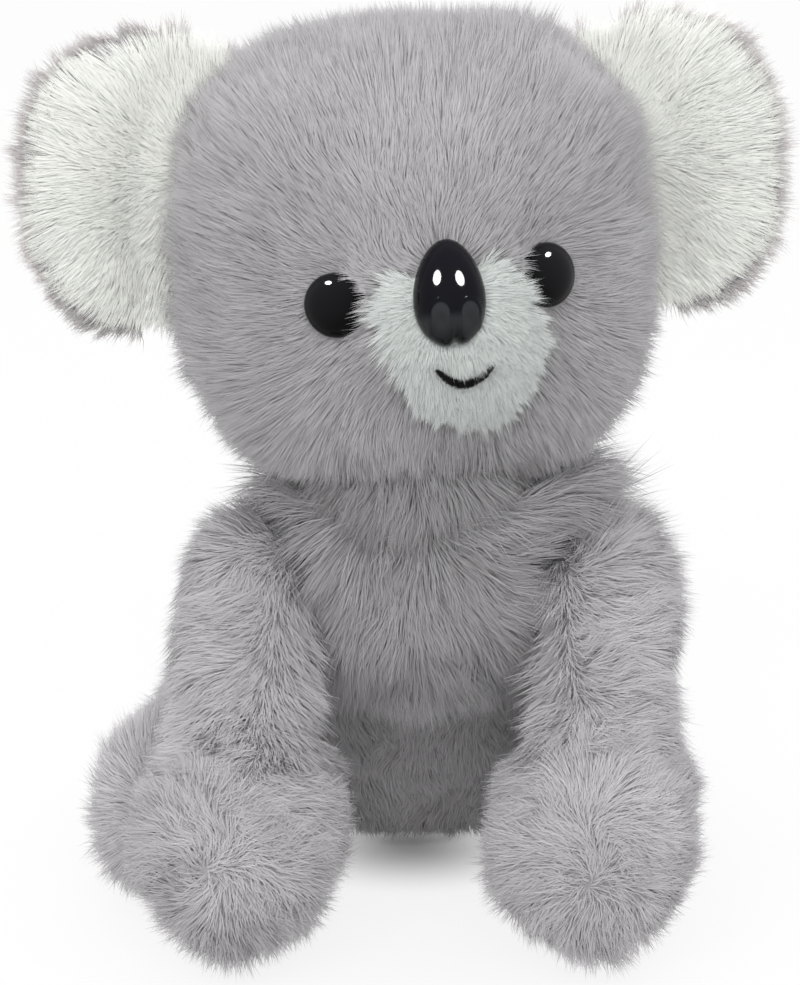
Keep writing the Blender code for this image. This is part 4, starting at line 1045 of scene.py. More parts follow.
def pile_material(name, root, middle, tip, spread, sheen):
    """Root to tip through three colours, times a tone that goes from 1 - spread to 1 + spread."""
    material, nodes, links = new_material(name)
    shader = nodes["Principled BSDF"]
    shader.inputs["Roughness"].default_value = 0.72
    shader.inputs["Specular IOR Level"].default_value = 0.12
    shader.inputs["Sheen Weight"].default_value = sheen
    shader.inputs["Sheen Roughness"].default_value = 0.5
    pattern = nodes.new("ShaderNodeUVMap")
    pattern.uv_map = "OFBake"
    parts = nodes.new("ShaderNodeSeparateXYZ")
    ramp = nodes.new("ShaderNodeValToRGB")
    stops = ramp.color_ramp.elements
    stops[0].position, stops[0].color = 0.05, (*root, 1.0)
    stops[1].position, stops[1].color = 1.0, (*tip, 1.0)
    stops.new(0.55).color = (*middle, 1.0)
    tones = nodes.new("ShaderNodeMapRange")
    tones.inputs["To Min"].default_value = 1.0 - spread
    tones.inputs["To Max"].default_value = 1.0 + spread
    scale = nodes.new("ShaderNodeVectorMath")
    scale.operation = "SCALE"
    links.new(pattern.outputs["UV"], parts.inputs["Vector"])
    links.new(parts.outputs["Y"], ramp.inputs["Fac"])
    links.new(parts.outputs["X"], tones.inputs["Value"])
    links.new(ramp.outputs["Color"], scale.inputs["Vector"])
    links.new(tones.outputs["Result"], scale.inputs["Scale"])
    links.new(scale.outputs["Vector"], shader.inputs["Base Color"])
    through = nodes.new("ShaderNodeBsdfTranslucent")
    links.new(scale.outputs["Vector"], through.inputs["Color"])
    both = nodes.new("ShaderNodeMixShader")
    both.inputs["Fac"].default_value = FIBRE_GLOW
    links.new(shader.outputs["BSDF"], both.inputs[1])
    links.new(through.outputs["BSDF"], both.inputs[2])
    links.new(both.outputs["Shader"], nodes["Material Output"].inputs["Surface"])
    return material


def linear(red, green, blue):
    """Linear values of a colour that is given as it looks on a screen, from 0 to 255."""
    values = np.array([red, green, blue]) / 255.0
    bright = ((values + 0.055) / 1.055) ** 2.4
    return tuple(float(x) for x in np.where(values < 0.04045, values / 12.92, bright))


grey_pile = pile_material(
    "grey_pile", linear(196, 194, 196), linear(198, 196, 198), linear(204, 202, 204), 0.30, 0.30
)
# Painted light: a warm grey much lighter than the grey pile, for the ears' backs, whose rims face away from
# the front box.
warm_lit_pile = pile_material(
    "warm_lit_grey_pile", linear(230, 226, 226), linear(233, 229, 229), linear(236, 232, 232), 0.20, 0.30
)
white_pile = pile_material(
    "white_pile", linear(248, 249, 245), linear(248, 249, 245), linear(249, 250, 246), 0.06, 0.20
)
muzzle_pile = pile_material(
    "muzzle_pile", linear(228, 232, 230), linear(230, 234, 232), linear(233, 237, 235), 0.05, 0.10
)


# %% Cloth, plastic and thread finishes
def backing_material(name, dark, light):
    """Knitted backing cloth: two tones in fine rows, and the rows as bumps."""
    material, nodes, links = new_material(name)
    shader = nodes["Principled BSDF"]
    shader.inputs["Roughness"].default_value = 0.9
    shader.inputs["Specular IOR Level"].default_value = 0.15
    place = nodes.new("ShaderNodeTexCoord")
    knit = nodes.new("ShaderNodeTexNoise")
    knit.inputs["Scale"].default_value = 900.0
    knit.inputs["Detail"].default_value = 3.0
    ramp = nodes.new("ShaderNodeValToRGB")
    ramp.color_ramp.elements[0].position, ramp.color_ramp.elements[0].color = 0.35, (*dark, 1.0)
    ramp.color_ramp.elements[1].position, ramp.color_ramp.elements[1].color = 0.65, (*light, 1.0)
    bump = nodes.new("ShaderNodeBump")
    bump.inputs["Strength"].default_value = 0.4
    bump.inputs["Distance"].default_value = 0.0003
    links.new(place.outputs["Object"], knit.inputs["Vector"])
    links.new(knit.outputs["Fac"], ramp.inputs["Fac"])
    links.new(knit.outputs["Fac"], bump.inputs["Height"])
    links.new(ramp.outputs["Color"], shader.inputs["Base Color"])
    links.new(bump.outputs["Normal"], shader.inputs["Normal"])
    return material


def plain_material(name, colour, roughness, gloss):
    """A material of one colour, and how strongly it mirrors."""
    material, nodes, _ = new_material(name)
    shader = nodes["Principled BSDF"]
    shader.inputs["Base Color"].default_value = (*colour, 1.0)
    shader.inputs["Roughness"].default_value = roughness
    shader.inputs["Specular IOR Level"].default_value = gloss
    return material


def reflection_painted_plastic(name, polished, painted_reflection):
    """Polished black plastic, in the painted reflection's lighter tone where that attribute is 1."""
    material = plain_material(name, BLACK, POLISH, POLISH)
    nodes, links = material.node_tree.nodes, material.node_tree.links
    share = nodes.new("ShaderNodeAttribute")
    share.attribute_name = "painted_reflection"
    ramp = nodes.new("ShaderNodeValToRGB")
    ramp.color_ramp.elements[0].color = (*polished, 1.0)
    ramp.color_ramp.elements[1].color = (*painted_reflection, 1.0)
    links.new(share.outputs["Fac"], ramp.inputs["Fac"])
    links.new(ramp.outputs["Color"], nodes["Principled BSDF"].inputs["Base Color"])
    return material


BLACK, POLISH = linear(6, 6, 7), 0.06
# Painted shade: each backing is darker than its pile, as the shade deep between the strands; its two tones
# are the knit.
grey_backing = backing_material("grey_backing", linear(150, 148, 151), linear(168, 166, 168))
white_backing = backing_material("white_backing", linear(196, 199, 196), linear(216, 219, 216))
black_plastic = plain_material("black_plastic", BLACK, POLISH, POLISH)
# The nose's lower face gets a lighter tone as a painted reflection.
nose_plastic = reflection_painted_plastic("nose_plastic", linear(2, 2, 3), linear(12, 13, 14))
washer_plastic = plain_material("washer_plastic", linear(226, 226, 220), 0.45, 0.5)
black_thread = plain_material("black_thread", linear(24, 23, 25), 0.85, 0.2)
# Painted shade: the neck's filling is grey, as the shade in the gap at the neck.
fibre_filling = backing_material("shaded_grey_fibre", linear(140, 137, 140), linear(172, 169, 172))


# %% Dressing a piece
def dress(thing, material):
    """Gives a piece its finish."""
    thing.data.materials.clear()
    thing.data.materials.append(material)
    return thing


def coat(name, skin, count, seed, comb, body, material, slot, keep=None, bare=None, width=STRAND_WIDTH,
         tuft_size=0.0026, tuft_pull=0.40, sway=0.5, parts=1, order=None, clear=None):
    """Grows one coat of pile on a skin, in as many pieces as its strands need."""
    rng = np.random.default_rng(seed)
    roots, normals = scatter(skin, count, seed, keep, bare)
    count = len(roots)
    path, tone = strand_paths(roots, normals, comb(roots, normals), rng, tuft_size, tuft_pull, sway, seed)
    if clear is not None:
        path = clear(path)
    if order is not None:
        line = np.argsort(order(roots), kind="stable")
        path, tone, normals = path[line], tone[line], normals[line]
    for part in range(parts):
        some = slice(part * count // parts, (part + 1) * count // parts)
        label = f"{name}_{part + 1}" if parts > 1 else name
        thing = strand_mesh(label, path[some], normals[some], tone[some], width, rng)
        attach(dress(thing, material), body)
    print(f"{name}: {count} strands, {3 * count // parts} triangles in each of {parts}")


# %% [markdown]
# ## How the pile lies
#
# Pile is brushed away from the nose on the head, down the body, and down each
# leg to a swirl on the paw. A comb is a function that gives every root its
# direction, its length and how steeply it stands; most combs also give a tone,
# in which shade and light are painted. Where two parts touch, the pile is pressed
# down, so it is shorter and thinner there.
#
# Each stroke below is a place in the picture and the way the pile lies there,
# both in pixels right and down, as seen on the toy that is modelled. A crease
# is a line between two places, and its width.

# %% Strokes of the brush
STROKES = {
    "head": (
        (250, 90, -0.5, -1), (320, 80, -0.15, -1), (400, 70, 0, -1), (480, 80, 0.12, -1), (560, 100, 0.4, -1),
        (219, 156, -0.7, -1), (286, 165, -0.4, -1), (330, 175, -0.25, -1), (400, 160, 0, -1),
        (480, 165, 0.1, -1),
        (560, 180, 0.45, -1), (620, 200, 0.9, -1), (206, 251, -0.9, -0.65), (238, 232, -0.8, -0.75),
        (296, 251, -0.6, -0.8), (324, 228, -0.4, -0.9), (372, 235, -0.15, -1), (440, 215, 0.05, -1),
        (510, 225, 0.25, -1), (235, 322, -1, -0.6), (201, 330, -0.9, -0.7), (276, 345, -1, -0.1),
        (309, 366, -0.9, 0.45), (347, 380, -0.45, 0.9), (284, 386, -1, 0.3), (240, 380, -1, 0.05),
        (215, 360, -1, -0.35), (276, 408, -0.9, 0.5), (260, 428, -0.75, 0.75), (326, 416, -0.3, 1),
        (309, 449, -0.25, 1), (359, 449, 0, 1), (400, 449, 0.15, 1), (276, 471, -0.45, 0.9),
        (326, 490, 0, 1), (400, 485, 0.1, 1), (460, 455, 0.1, 1), (460, 485, 0.2, 1), (520, 470, 0.45, 0.9),
        (540, 440, 0.35, 0.9), (590, 425, 0.7, 0.7), (560, 395, 0.6, 0.8), (600, 360, 0.95, 0.15),
        (364, 288, -0.95, -0.3), (364, 318, -1, 0.3), (345, 348, -0.8, 0.6), (520, 300, 0.9, 0.5),
        (545, 320, 0.8, 0.6), (620, 385, 0.95, 0.4), (600, 300, 1, -0.3), (635, 250, 0.9, -0.65),
        (640, 320, 1, -0.1),
    ),
    "torso": (
        (296, 526, -0.75, 0.65), (379, 535, -0.1, 1), (391, 573, -0.2, 1), (442, 573, 0.7, 0.6),
        (481, 596, 0.8, 0.5), (423, 609, 0.3, 1), (343, 609, -0.35, 1), (320, 640, -0.3, 1), (359, 669, 0, 1),
        (423, 669, 0.1, 1), (461, 634, 0.4, 0.9), (480, 660, 0.3, 1), (487, 487, 1, 0.2), (519, 510, 1, 0.1),
        (487, 535, 1, 0), (551, 494, 0.9, -0.2), (503, 558, 0.9, 0.35), (590, 520, 1, -0.1),
        (610, 455, 0.9, -0.4), (580, 470, 0.8, -0.5), (260, 480, -0.8, -0.3), (340, 720, -0.05, 1),
        (400, 720, 0, 1), (460, 720, 0.05, 1), (360, 790, 0, 1), (440, 790, 0, 1), (400, 840, 0, 1),
    ),
    "left_front_leg": (
        (240, 505, -0.9, -0.2), (205, 530, -1, 0), (290, 540, -0.85, 0.5), (270, 570, -0.7, 0.7),
        (214, 617, -1, 0.15),
        (246, 608, -0.8, 0.5), (230, 659, -0.8, 0.5), (262, 646, -0.45, 0.9), (294, 633, -0.1, 1),
        (214, 703, -0.8, 0.6), (262, 710, -0.3, 1), (294, 735, 0, 1), (325, 703, 0.35, 1), (338, 751, 0.5, 1),
        (239, 761, -0.4, 0.9), (262, 767, 0, 1), (322, 799, 0.55, 0.9), (180, 760, -0.8, 0.2),
        (169, 790, -0.9, -0.3), (205, 800, -0.3, -0.9), (182, 825, -0.8, -0.6), (262, 818, 0.9, -0.3),
        (225, 835, 0.4, -0.9), (246, 863, 0.9, 0.3), (278, 850, 0.95, 0.2), (255, 904, 0.7, 0.75),
        (214, 920, 0.1, 1), (169, 895, -0.9, 0.5), (160, 855, -1, 0), (294, 885, 0.85, 0.6),
        (182, 943, -0.35, 0.95), (262, 949, 0.35, 1),
    ),
    "right_front_leg": (
        (508, 637, -0.2, 1), (528, 652, -0.4, 0.9), (499, 696, -0.2, 1), (493, 755, -0.35, 1),
        (528, 711, -0.6, 0.8), (587, 637, 1, 0), (631, 631, 1, 0.05), (616, 684, 1, -0.15),
        (645, 702, 1, 0.1),
        (657, 740, 1, -0.1), (581, 708, 0.35, 1), (543, 684, -0.3, 0.9), (604, 573, 0.8, -0.5),
        (645, 564, 0.9, -0.2), (560, 590, 0.9, 0.3), (520, 590, 0.6, 0.8), (650, 520, 0.9, -0.3),
        (587, 775, 0.1, -0.8), (537, 790, -0.7, 0.5), (645, 780, 0.7, -0.7), (675, 800, 0.8, -0.4),
        (499, 843, -1, 0.15), (490, 813, -0.9, 0.2), (499, 901, -0.8, 0.6), (528, 931, -0.35, 0.9),
        (640, 490, 0.7, -0.75), (600, 490, 0.4, -0.9), (569, 931, 0, 1), (616, 931, 0.4, 0.9),
        (645, 887, 0.8, 0.6), (669, 857, 0.95, 0.25),
        (616, 843, 0.9, -0.1), (528, 857, -0.9, 0.1), (569, 828, 0.1, -0.9), (580, 740, 0.2, 1),
    ),
}
STROKE_REACH = 26.0
CREASES = {
    "torso": ((450, 508, 600, 476, 7), (470, 542, 560, 530, 6), (500, 568, 560, 560, 5),
              (255, 502, 330, 506, 6), (505, 604, 512, 624, 5)),
    "left_front_leg": ((224, 721, 222, 790, 4), (254, 818, 298, 829, 6), (262, 640, 270, 668, 4)),
    "right_front_leg": ((560, 610, 562, 690, 5), (546, 756, 572, 764, 6), (600, 704, 640, 712, 5)),
}


def as_photographed(points, normals, name, otherwise):
    """The strokes' direction on the side that faces the camera, and another direction elsewhere.

    Each stroke counts by exp(-distance squared / reach squared) in the picture.
    """
    strokes = np.array(STROKES[name], float)
    right, down = photo_place(points)
    gap = (right[:, None] - strokes[None, :, 0]) ** 2 + (down[:, None] - strokes[None, :, 1]) ** 2
    weight = np.exp(-gap / STROKE_REACH**2) + 1e-12
    total = weight.sum(axis=1, keepdims=True)
    way = unit(strokes[:, 2:])
    seen = (weight @ way[:, :1]) / total * picture_right - (weight @ way[:, 1:]) / total * picture_up
    trust = smooth(0.10, 0.45, normals @ to_camera)[:, None] * total / (total + 0.12)
    return unit(unit(seen) * trust + otherwise * (1.0 - trust))


def creased(points, name):
    """1 along the creases seen in the picture, down to 0 over their width."""
    right, down = photo_place(points)
    deep = np.zeros(len(points))
    for x0, y0, x1, y1, width in CREASES[name]:
        run, rise = x1 - x0, y1 - y0
        share = np.clip(((right - x0) * run + (down - y0) * rise) / (run**2 + rise**2), 0.0, 1.0)
        gap = np.hypot(right - x0 - share * run, down - y0 - share * rise)
        deep = np.maximum(deep, np.exp(-((gap / width) ** 2)))
    return deep


# %% Combs
NOSE_ROOT = np.array([0.0015, -0.048, 0.003])
DOWN = np.array([0.0, 0.0, -1.0])
FRONT_PRESSED, HIND_PRESSED = 0.036, 0.055


def away_from(points, centre):
    """Directions away from a centre."""
    return unit(points - centre)


def on_the_floor(points, normals):
    """1 where a part rests on what the toy sits on."""
    return (1.0 - smooth(0.003, 0.009, points[:, 2])) * smooth(0.3, 0.7, -normals[:, 2])


def in_muzzle(own, margin):
    """True on the face inside the white patch's outline, moved out by a margin."""
    away = np.hypot(own[:, 0] - MUZZLE_ASIDE, own[:, 2] + MUZZLE_DROP)
    return (away < muzzle_reach(own[:, 0], own[:, 2]) + margin) & (own[:, 1] < 0)


def from_button(own, name):
    """How far places are from a button's axis, and the direction away from it."""
    seat, axes, size = button_frames[name]
    local = (own - seat) @ axes.T
    local[:, 2] = 0.0
    away = np.hypot(local[:, 0] / size["half_width"], local[:, 1] / size["half_height"])
    away[own[:, 1] > 0] = 9.0
    return away, unit(local) @ axes


def bare_head(points):
    """No grey roots grow under the muzzle's patch, the eyes or the nose."""
    own = head_own(points)
    bare = in_muzzle(own, -0.0026)
    for name in BUTTONS:
        bare |= from_button(own, name)[0] < 0.86
    return bare


def around_buttons(path):
    """Moves the parts of strands that would lie inside a button out onto it."""
    own = head_own(path.reshape(-1, 3))
    for seat, axes, size in button_frames.values():
        local = (own - seat) @ axes.T
        scale = np.array([size["half_width"], size["half_height"], size["rise"]]) + 0.0008
        inside = np.sqrt(((local / scale) ** 2).sum(axis=1))
        caught = (inside < 1.0) & (local[:, 2] > 0.0004)
        local[caught] /= np.maximum(inside[caught], 0.3)[:, None]
        own[caught] = seat + local[caught] @ axes
    return head_world(own).reshape(path.shape)


def comb_head(points, normals):
    """Away from the nose, laid round the eyes, and longer towards the chin."""
    own = head_own(points)
    radial = away_from(own, NOSE_ROOT)
    behind = smooth(-0.005, 0.025, own[:, 1])[:, None]
    flow = radial * (1.0 - behind) + np.array([0.0, 0.25, -1.0]) * behind
    flow[:, 2] -= 0.12
    flow = as_photographed(points, normals, "head", unit(flow) @ HEAD_SPIN.T) @ HEAD_SPIN
    short, over = np.ones(len(points)), np.zeros(len(points))
    for name in ("left_eye", "right_eye"):
        away, outwards = from_button(own, name)
        near = np.exp(-((away / 1.5) ** 4))
        across = smooth(0.0, 0.6, -(unit(flow) * outwards).sum(axis=1))
        inner = smooth(-0.3, 0.5, -outwards[:, 0] * np.sign(BUTTONS[name][0]) - 0.3 * outwards[:, 2])
        over = np.maximum(over, near * across * inner)
        flow = flow + 0.55 * (near * (1.0 - across * inner))[:, None] * outwards
        short -= near * (0.45 - 0.22 * across * inner)
    pressed = under_head(points)
    from_nose = np.linalg.norm(own - NOSE_ROOT, axis=1)
    length = 0.0062 + 0.0034 * smooth(0.018, 0.050, from_nose)
    low = 1.0 - smooth(-0.034, -0.008, own[:, 2])
    chin = (1.0 - smooth(-0.046, -0.038, own[:, 2])) * (1.0 - smooth(-0.030, -0.015, own[:, 1]))
    left_chin = chin * (1.0 - smooth(0.010, 0.030, own[:, 0]))
    length = length + 0.0014 * low + 0.0026 * chin + 0.0042 * left_chin
    return {
        "flow": unit(flow) @ HEAD_SPIN.T,
        "length": length * short * (1.0 - 0.5 * pressed),
        "lift": 1.10 - 0.20 * low - 0.5 * pressed + 0.15 * over,
        "tip_lift": 0.62 - 0.30 * low - 0.3 * pressed - 0.45 * over + 0.35 * left_chin,
        # Painted light: the pile is toned lighter towards the crown and the sides of the head.
        "tone": 0.16 * smooth(0.015, 0.045, own[:, 2])
        + 0.13 * smooth(0.020, 0.040, np.abs(own[:, 0])) - 0.05,
    }


def from_mouth(own):
    """How far places on the face are from the smile, seen from the front."""
    _, line, _ = mouth_line(40, 0.0)
    gaps = ((own[:, None, [0, 2]] - line[None, :, [0, 2]]) ** 2).sum(axis=2)
    return np.sqrt(gaps).min(axis=1)


def comb_muzzle(points, normals):
    """Short pile, brushed away from the nose, and ragged at the patch's edge."""
    own = head_own(points)
    radial = away_from(own, np.array([0.0, -0.046, 0.0012]))
    away, _ = from_button(own, "nose")
    length = 0.0048 - 0.0020 * np.exp(-((from_mouth(own) / 0.0024) ** 2))
    length -= 0.0012 * np.exp(-((away / 1.25) ** 6))
    from_middle = np.hypot(own[:, 0] - MUZZLE_ASIDE, own[:, 2] + MUZZLE_DROP)
    edge = smooth(-0.0065, -0.0025, from_middle - muzzle_reach(own[:, 0], own[:, 2]))
    length *= 1.0 + edge * (0.50 * slow_noise(own, 0.0016, 73) - 0.05)
    return {"flow": radial @ HEAD_SPIN.T, "length": length, "lift": 1.1, "tip_lift": 0.75}


def bare_muzzle(points):
    """No roots under the nose and the stitches, or on the pad's hidden back."""
    own = head_own(points)
    return (from_button(own, "nose")[0] < 0.9) | (from_mouth(own) < 0.0005)


def keep_head(points, normals):
    """Few roots where the chest presses on the head, and somewhat fewer on its back."""
    own = head_own(points)
    return (1.0 - 0.75 * under_head(points)) * (1.0 - 0.3 * smooth(0.0, 0.02, own[:, 1]))


def comb_body(points, normals):
    """Down the chest and the belly, out over the shoulders, and short in the creases."""
    flow = np.tile(DOWN, (len(points), 1))
    flow[:, 0] += 0.35 * np.sign(points[:, 0]) * smooth(0.0, 0.03, np.abs(points[:, 0]))
    front = smooth(0.2, 0.7, -normals[:, 1])
    flow[:, 1] -= 0.25 * front
    flow = as_photographed(points, normals, "torso", unit(flow))
    pressed = under_head(points)
    belly = front * (1.0 - smooth(0.050, 0.058, points[:, 2]))
    bib = front * smooth(0.052, 0.058, points[:, 2]) * (1.0 - smooth(0.075, 0.085, points[:, 2]))
    rim = smooth(0.084, 0.092, points[:, 2]) * (1.0 - pressed)
    shoulder = smooth(0.086, 0.100, points[:, 2]) * smooth(0.014, 0.030, np.abs(points[:, 0] - 0.004))
    over_arm = front * (1.0 - smooth(-0.0150, -0.0070, points[:, 0])) * smooth(0.055, 0.062, points[:, 2])
    flow[:, 0] -= 0.7 * over_arm
    other_arm = front * smooth(0.014, 0.022, points[:, 0]) * smooth(0.072, 0.080, points[:, 2])
    flow[:, 0] += 0.5 * other_arm
    length = 0.0100 - 0.0030 * belly + 0.0030 * bib + 0.0020 * rim
    length = length + 0.0030 * shoulder + 0.0040 * (over_arm + other_arm)
    aside = in_legs(points, normals)
    resting = on_the_floor(points, normals)
    fold = creased(points, "torso") * front
    chest = front * smooth(0.052, 0.060, points[:, 2])
    valley = in_valley(points)
    length = length + 0.0030 * valley
    return {
        "flow": unit(flow),
        "length": length * (1.0 - 0.5 * pressed) * (1.0 - 0.6 * aside)
        * (1.0 - 0.7 * resting) * (1.0 - 0.5 * fold),
        "lift": 0.95 - 0.5 * pressed + 0.1 * bib - 0.25 * belly + 0.4 * valley,
        "tip_lift": 0.35 - 0.2 * pressed - 0.15 * belly + 0.5 * valley,
        # Painted shade: darker on the belly in its recess, on the chest under the head, in the creases and on
        # the chest's front rim under the chin. Painted light: lighter on the sides and the back.
        "tone": -0.45 * belly - 0.20 * chest - 0.25 * fold - 0.20 * rim * front + 0.20 * (1.0 - front),
    }


def in_valley(points):
    """1 in the two hollows between the chest and the right arm, which fur has to fill."""
    found = np.zeros(len(points))
    for middle in ((0.0315, -0.042, 0.083), (0.0265, -0.046, 0.073)):
        found = np.maximum(found, np.exp(-((np.linalg.norm(points - middle, axis=1) / 0.010) ** 2)))
    return found


def in_legs(points, normals):
    """1 on the body's flats, where a leg lies against it."""
    found = np.zeros(len(points))
    for side in (-1.0, 1.0):
        arm = in_swing(points, SHOULDER, SHOULDER_ROOM, ARM_SLOPE - 0.035, ARM_SLOPE + 0.3)
        flat = side * points[:, 0] > side * SHOULDERS_ASIDE + CHEST_HALF_WIDTH - 0.0075
        leg = in_swing(points, HIP, HIP_ROOM, math.pi / 2, math.pi / 2)
        beside = side * points[:, 0] > HIP_INNER - 0.0075
        facing = smooth(0.70, 0.92, side * normals[:, 0])
        found = np.maximum(found, ((arm & flat) | (leg & beside)) * facing)
    return found


def keep_body(points, normals):
    """Thick on the chest and the belly, thin where the head, the legs or the floor hide it."""
    front = smooth(0.2, 0.6, -normals[:, 1])
    gone = np.maximum(0.8 * under_head(points), 0.75 * in_legs(points, normals))
    gone = np.maximum(gone, 0.6 * on_the_floor(points, normals))
    return (1.0 - gone * (1.0 - in_valley(points))) * (1.0 + 0.6 * front)


def comb_front_leg(side):
    """Down the arm, then away from a swirl low on the paw's front."""
    whorl = np.array([side * (PAW_OUT - 0.001), -PAW_FORWARD - 0.024, 0.0215])

    def comb(points, normals):
        share = smooth(0.030, 0.052, points[:, 2])[:, None]
        down = np.array([0.25 * side, -0.35, -1.0])
        swirl = away_from(points, whorl)
        swirl = swirl + 0.55 * np.cross(normals, swirl) * side
        flow = unit(swirl * (1.0 - share) + down * share)
        body = "right_front_leg" if side > 0 else "left_front_leg"
        flow = as_photographed(points, normals, body, flow)
        plane = arm_plane(side)
        pressed = pressed_flat(points, normals, side, plane, SHOULDER, FRONT_PRESSED)
        resting = on_the_floor(points, normals)
        top = smooth(0.084, 0.094, points[:, 2])
        length = 0.0095 - 0.0010 * (1.0 - share[:, 0]) + (0.0050 if side > 0 else 0.0030) * top
        inner = 1.0 - smooth(0.004, 0.010, side * (points[:, 0] - plane))
        inner = inner * smooth(0.050, 0.056, points[:, 2])
        inner *= smooth(0.1, 0.5, -normals[:, 1])
        if side > 0:
            flow = unit(flow + np.array([-1.2, -0.2, -0.6]) * inner[:, None])
            length = length + 0.0040 * inner
        fold = creased(points, body) * smooth(0.2, 0.6, -normals[:, 1])
        middle = np.exp(-((np.linalg.norm(points - whorl, axis=1) / 0.011) ** 2))
        valley = in_valley(points)
        length = length + 0.0035 * valley
        pressed = pressed * (1.0 - valley)
        return {
            "flow": flow,
            "length": length * (1.0 - 0.6 * pressed) * (1.0 - 0.6 * resting) * (1.0 - 0.5 * fold),
            "lift": 1.0 - 0.3 * pressed + 0.35 * middle + 0.3 * valley,
            "tip_lift": 0.45 - 0.3 * pressed + 0.75 * middle + 0.3 * valley,
            # Painted light: the arms' pile is toned lighter than the body's. Painted shade: darker in the
            # creases.
            "tone": 0.24 - 0.25 * fold,
            "sway": 1.0 + 1.6 * (1.0 - share[:, 0]),
        }

    return comb


def comb_hind_leg(side):
    """From the haunch forward, then away from a swirl on the foot's front."""
    out = FOOT_OUT - (FOOT_TUCK_IN if side > 0 else 0.0)
    forward = FOOT_FORWARD - (FOOT_TUCK_BACK if side > 0 else 0.0)
    whorl = np.array([side * out, -forward - FOOT_LENGTH, 0.020])

    def comb(points, normals):
        share = smooth(-forward - 0.004, -forward + 0.022, points[:, 1])[:, None]
        along = np.array([0.25 * side, 0.15, -1.0])
        flow = away_from(points, whorl) * (1.0 - share) + along * share
        pressed = pressed_flat(points, normals, side, side * HIP_INNER, HIP, HIND_PRESSED)
        resting = on_the_floor(points, normals)
        return {
            "flow": unit(flow),
            "length": 0.0092 * (1.0 - 0.6 * pressed) * (1.0 - 0.6 * resting),
            "lift": 1.0 - 0.3 * pressed,
            "tip_lift": 0.45 - 0.3 * pressed,
            # Painted light: the hind legs' pile is toned lighter than the body's.
            "tone": 0.36 * np.ones(len(points)),
        }

    return comb


def pressed_flat(points, normals, side, plane, middle, radius):
    """1 on the flat side of a leg, where it lies on the body."""
    near = np.hypot(points[:, 1] - middle[0], points[:, 2] - middle[1]) < radius
    facing = smooth(0.70, 0.92, -side * normals[:, 0])
    return (near & (side * (points[:, 0] - plane) < 0.0052)) * facing


def keep_leg(side, plane, middle, radius):
    """Thin where a leg lies on the body or the floor."""

    def keep(points, normals):
        flat = pressed_flat(points, normals, side, plane, middle, radius)
        gone = np.maximum(0.75 * flat, 0.6 * on_the_floor(points, normals))
        return 1.0 - gone * (1.0 - in_valley(points))

    return keep


# %% Ear combs
def ear_middle(name):
    """Where an ear's pile parts, nearer to the head than the ear's own middle."""
    side = SIDES[name]
    return head_world(np.array([[side * (EAR_OUT - 0.012), EAR_BACK, EAR_RISE[name]]]))[0]


def comb_ear(name, length, lift, tip_lift, fringe=0.0):
    """Outwards from the ear's middle, near the head, and longer by the fringe near its edge."""
    middle = ear_middle(name)

    def comb(points, normals):
        own = head_own(points)
        across = np.abs((np.abs(own[:, 0]) - EAR_OUT) / EAR_HALF_WIDTH) ** EAR_SQUARENESS
        up = np.abs((own[:, 2] - EAR_RISE[name]) / EAR_HALF_HEIGHT) ** EAR_SQUARENESS
        edge = smooth(0.52, 0.80, (across + up) ** (1.0 / EAR_SQUARENESS))
        low = 1.0 - smooth(-0.026, -0.016, own[:, 2] - EAR_RISE[name])
        return {
            "flow": away_from(points, middle),
            "length": length + fringe * edge * (1.0 - low),
            "lift": lift - 0.15 * edge,
            "tip_lift": tip_lift - 0.45 * edge,
            # The ear's back pile is painted darker towards the ear's bottom.
            "tone": -0.55 * low if fringe == 0.0 else 0.0,
        }

    return comb


def keep_facing(normal_y, sign):
    """Roots only where the head's own y of the normal is above (1) or below (-1) a limit."""

    def keep(points, normals):
        own = normals @ HEAD_SPIN
        return (sign * own[:, 1] > sign * normal_y).astype(float)

    return keep


# %% Grow the coats
DENSITY = 1.0
BODY_TUFTS = {"tuft_size": 0.0034, "tuft_pull": 0.46, "sway": 0.6}
LEG_TUFTS = {"tuft_size": 0.0032, "tuft_pull": 0.40, "sway": 0.6}


def many(count):
    return int(count * DENSITY)


def pad(thing, material, slot, body, fill, *nodes):
    """A stuffed skin under the pile, which stands for the soft solids."""
    dress(thing, material)
    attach(thing, body)
    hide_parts(*nodes)
    return thing


pad(head_skin, grey_backing, "grey_pile", "head", 0.8, "head_face_panel", "head_back_panel", "head_stuffing")
coat("head_pile", head_skin, many(178000), 11, comb_head, "head", grey_pile, "grey_pile",
     keep=keep_head, bare=bare_head, clear=around_buttons, parts=3, order=lambda roots: roots[:, 1],
     tuft_size=0.0022, tuft_pull=0.18, sway=0.30)

pad(muzzle_skin, white_backing, "white_pile", "head", 0.4, "muzzle_panel")
coat("muzzle_pile", muzzle_skin, many(30000), 71, comb_muzzle, "head", muzzle_pile, "white_pile",
     keep=keep_facing(0.0, -1.0), bare=bare_muzzle, clear=around_buttons,
     width=0.00021, tuft_size=0.0018, tuft_pull=0.12, sway=0.4)

pad(body_skin, grey_backing, "grey_pile", "torso", 0.7,
    "body_front_panel", "body_back_panel", "body_stuffing", "pellet_bag")
coat("body_pile", body_skin, many(100000), 21, comb_body, "torso", grey_pile, "grey_pile",
     keep=keep_body, parts=2, order=lambda roots: roots[:, 1], **BODY_TUFTS)

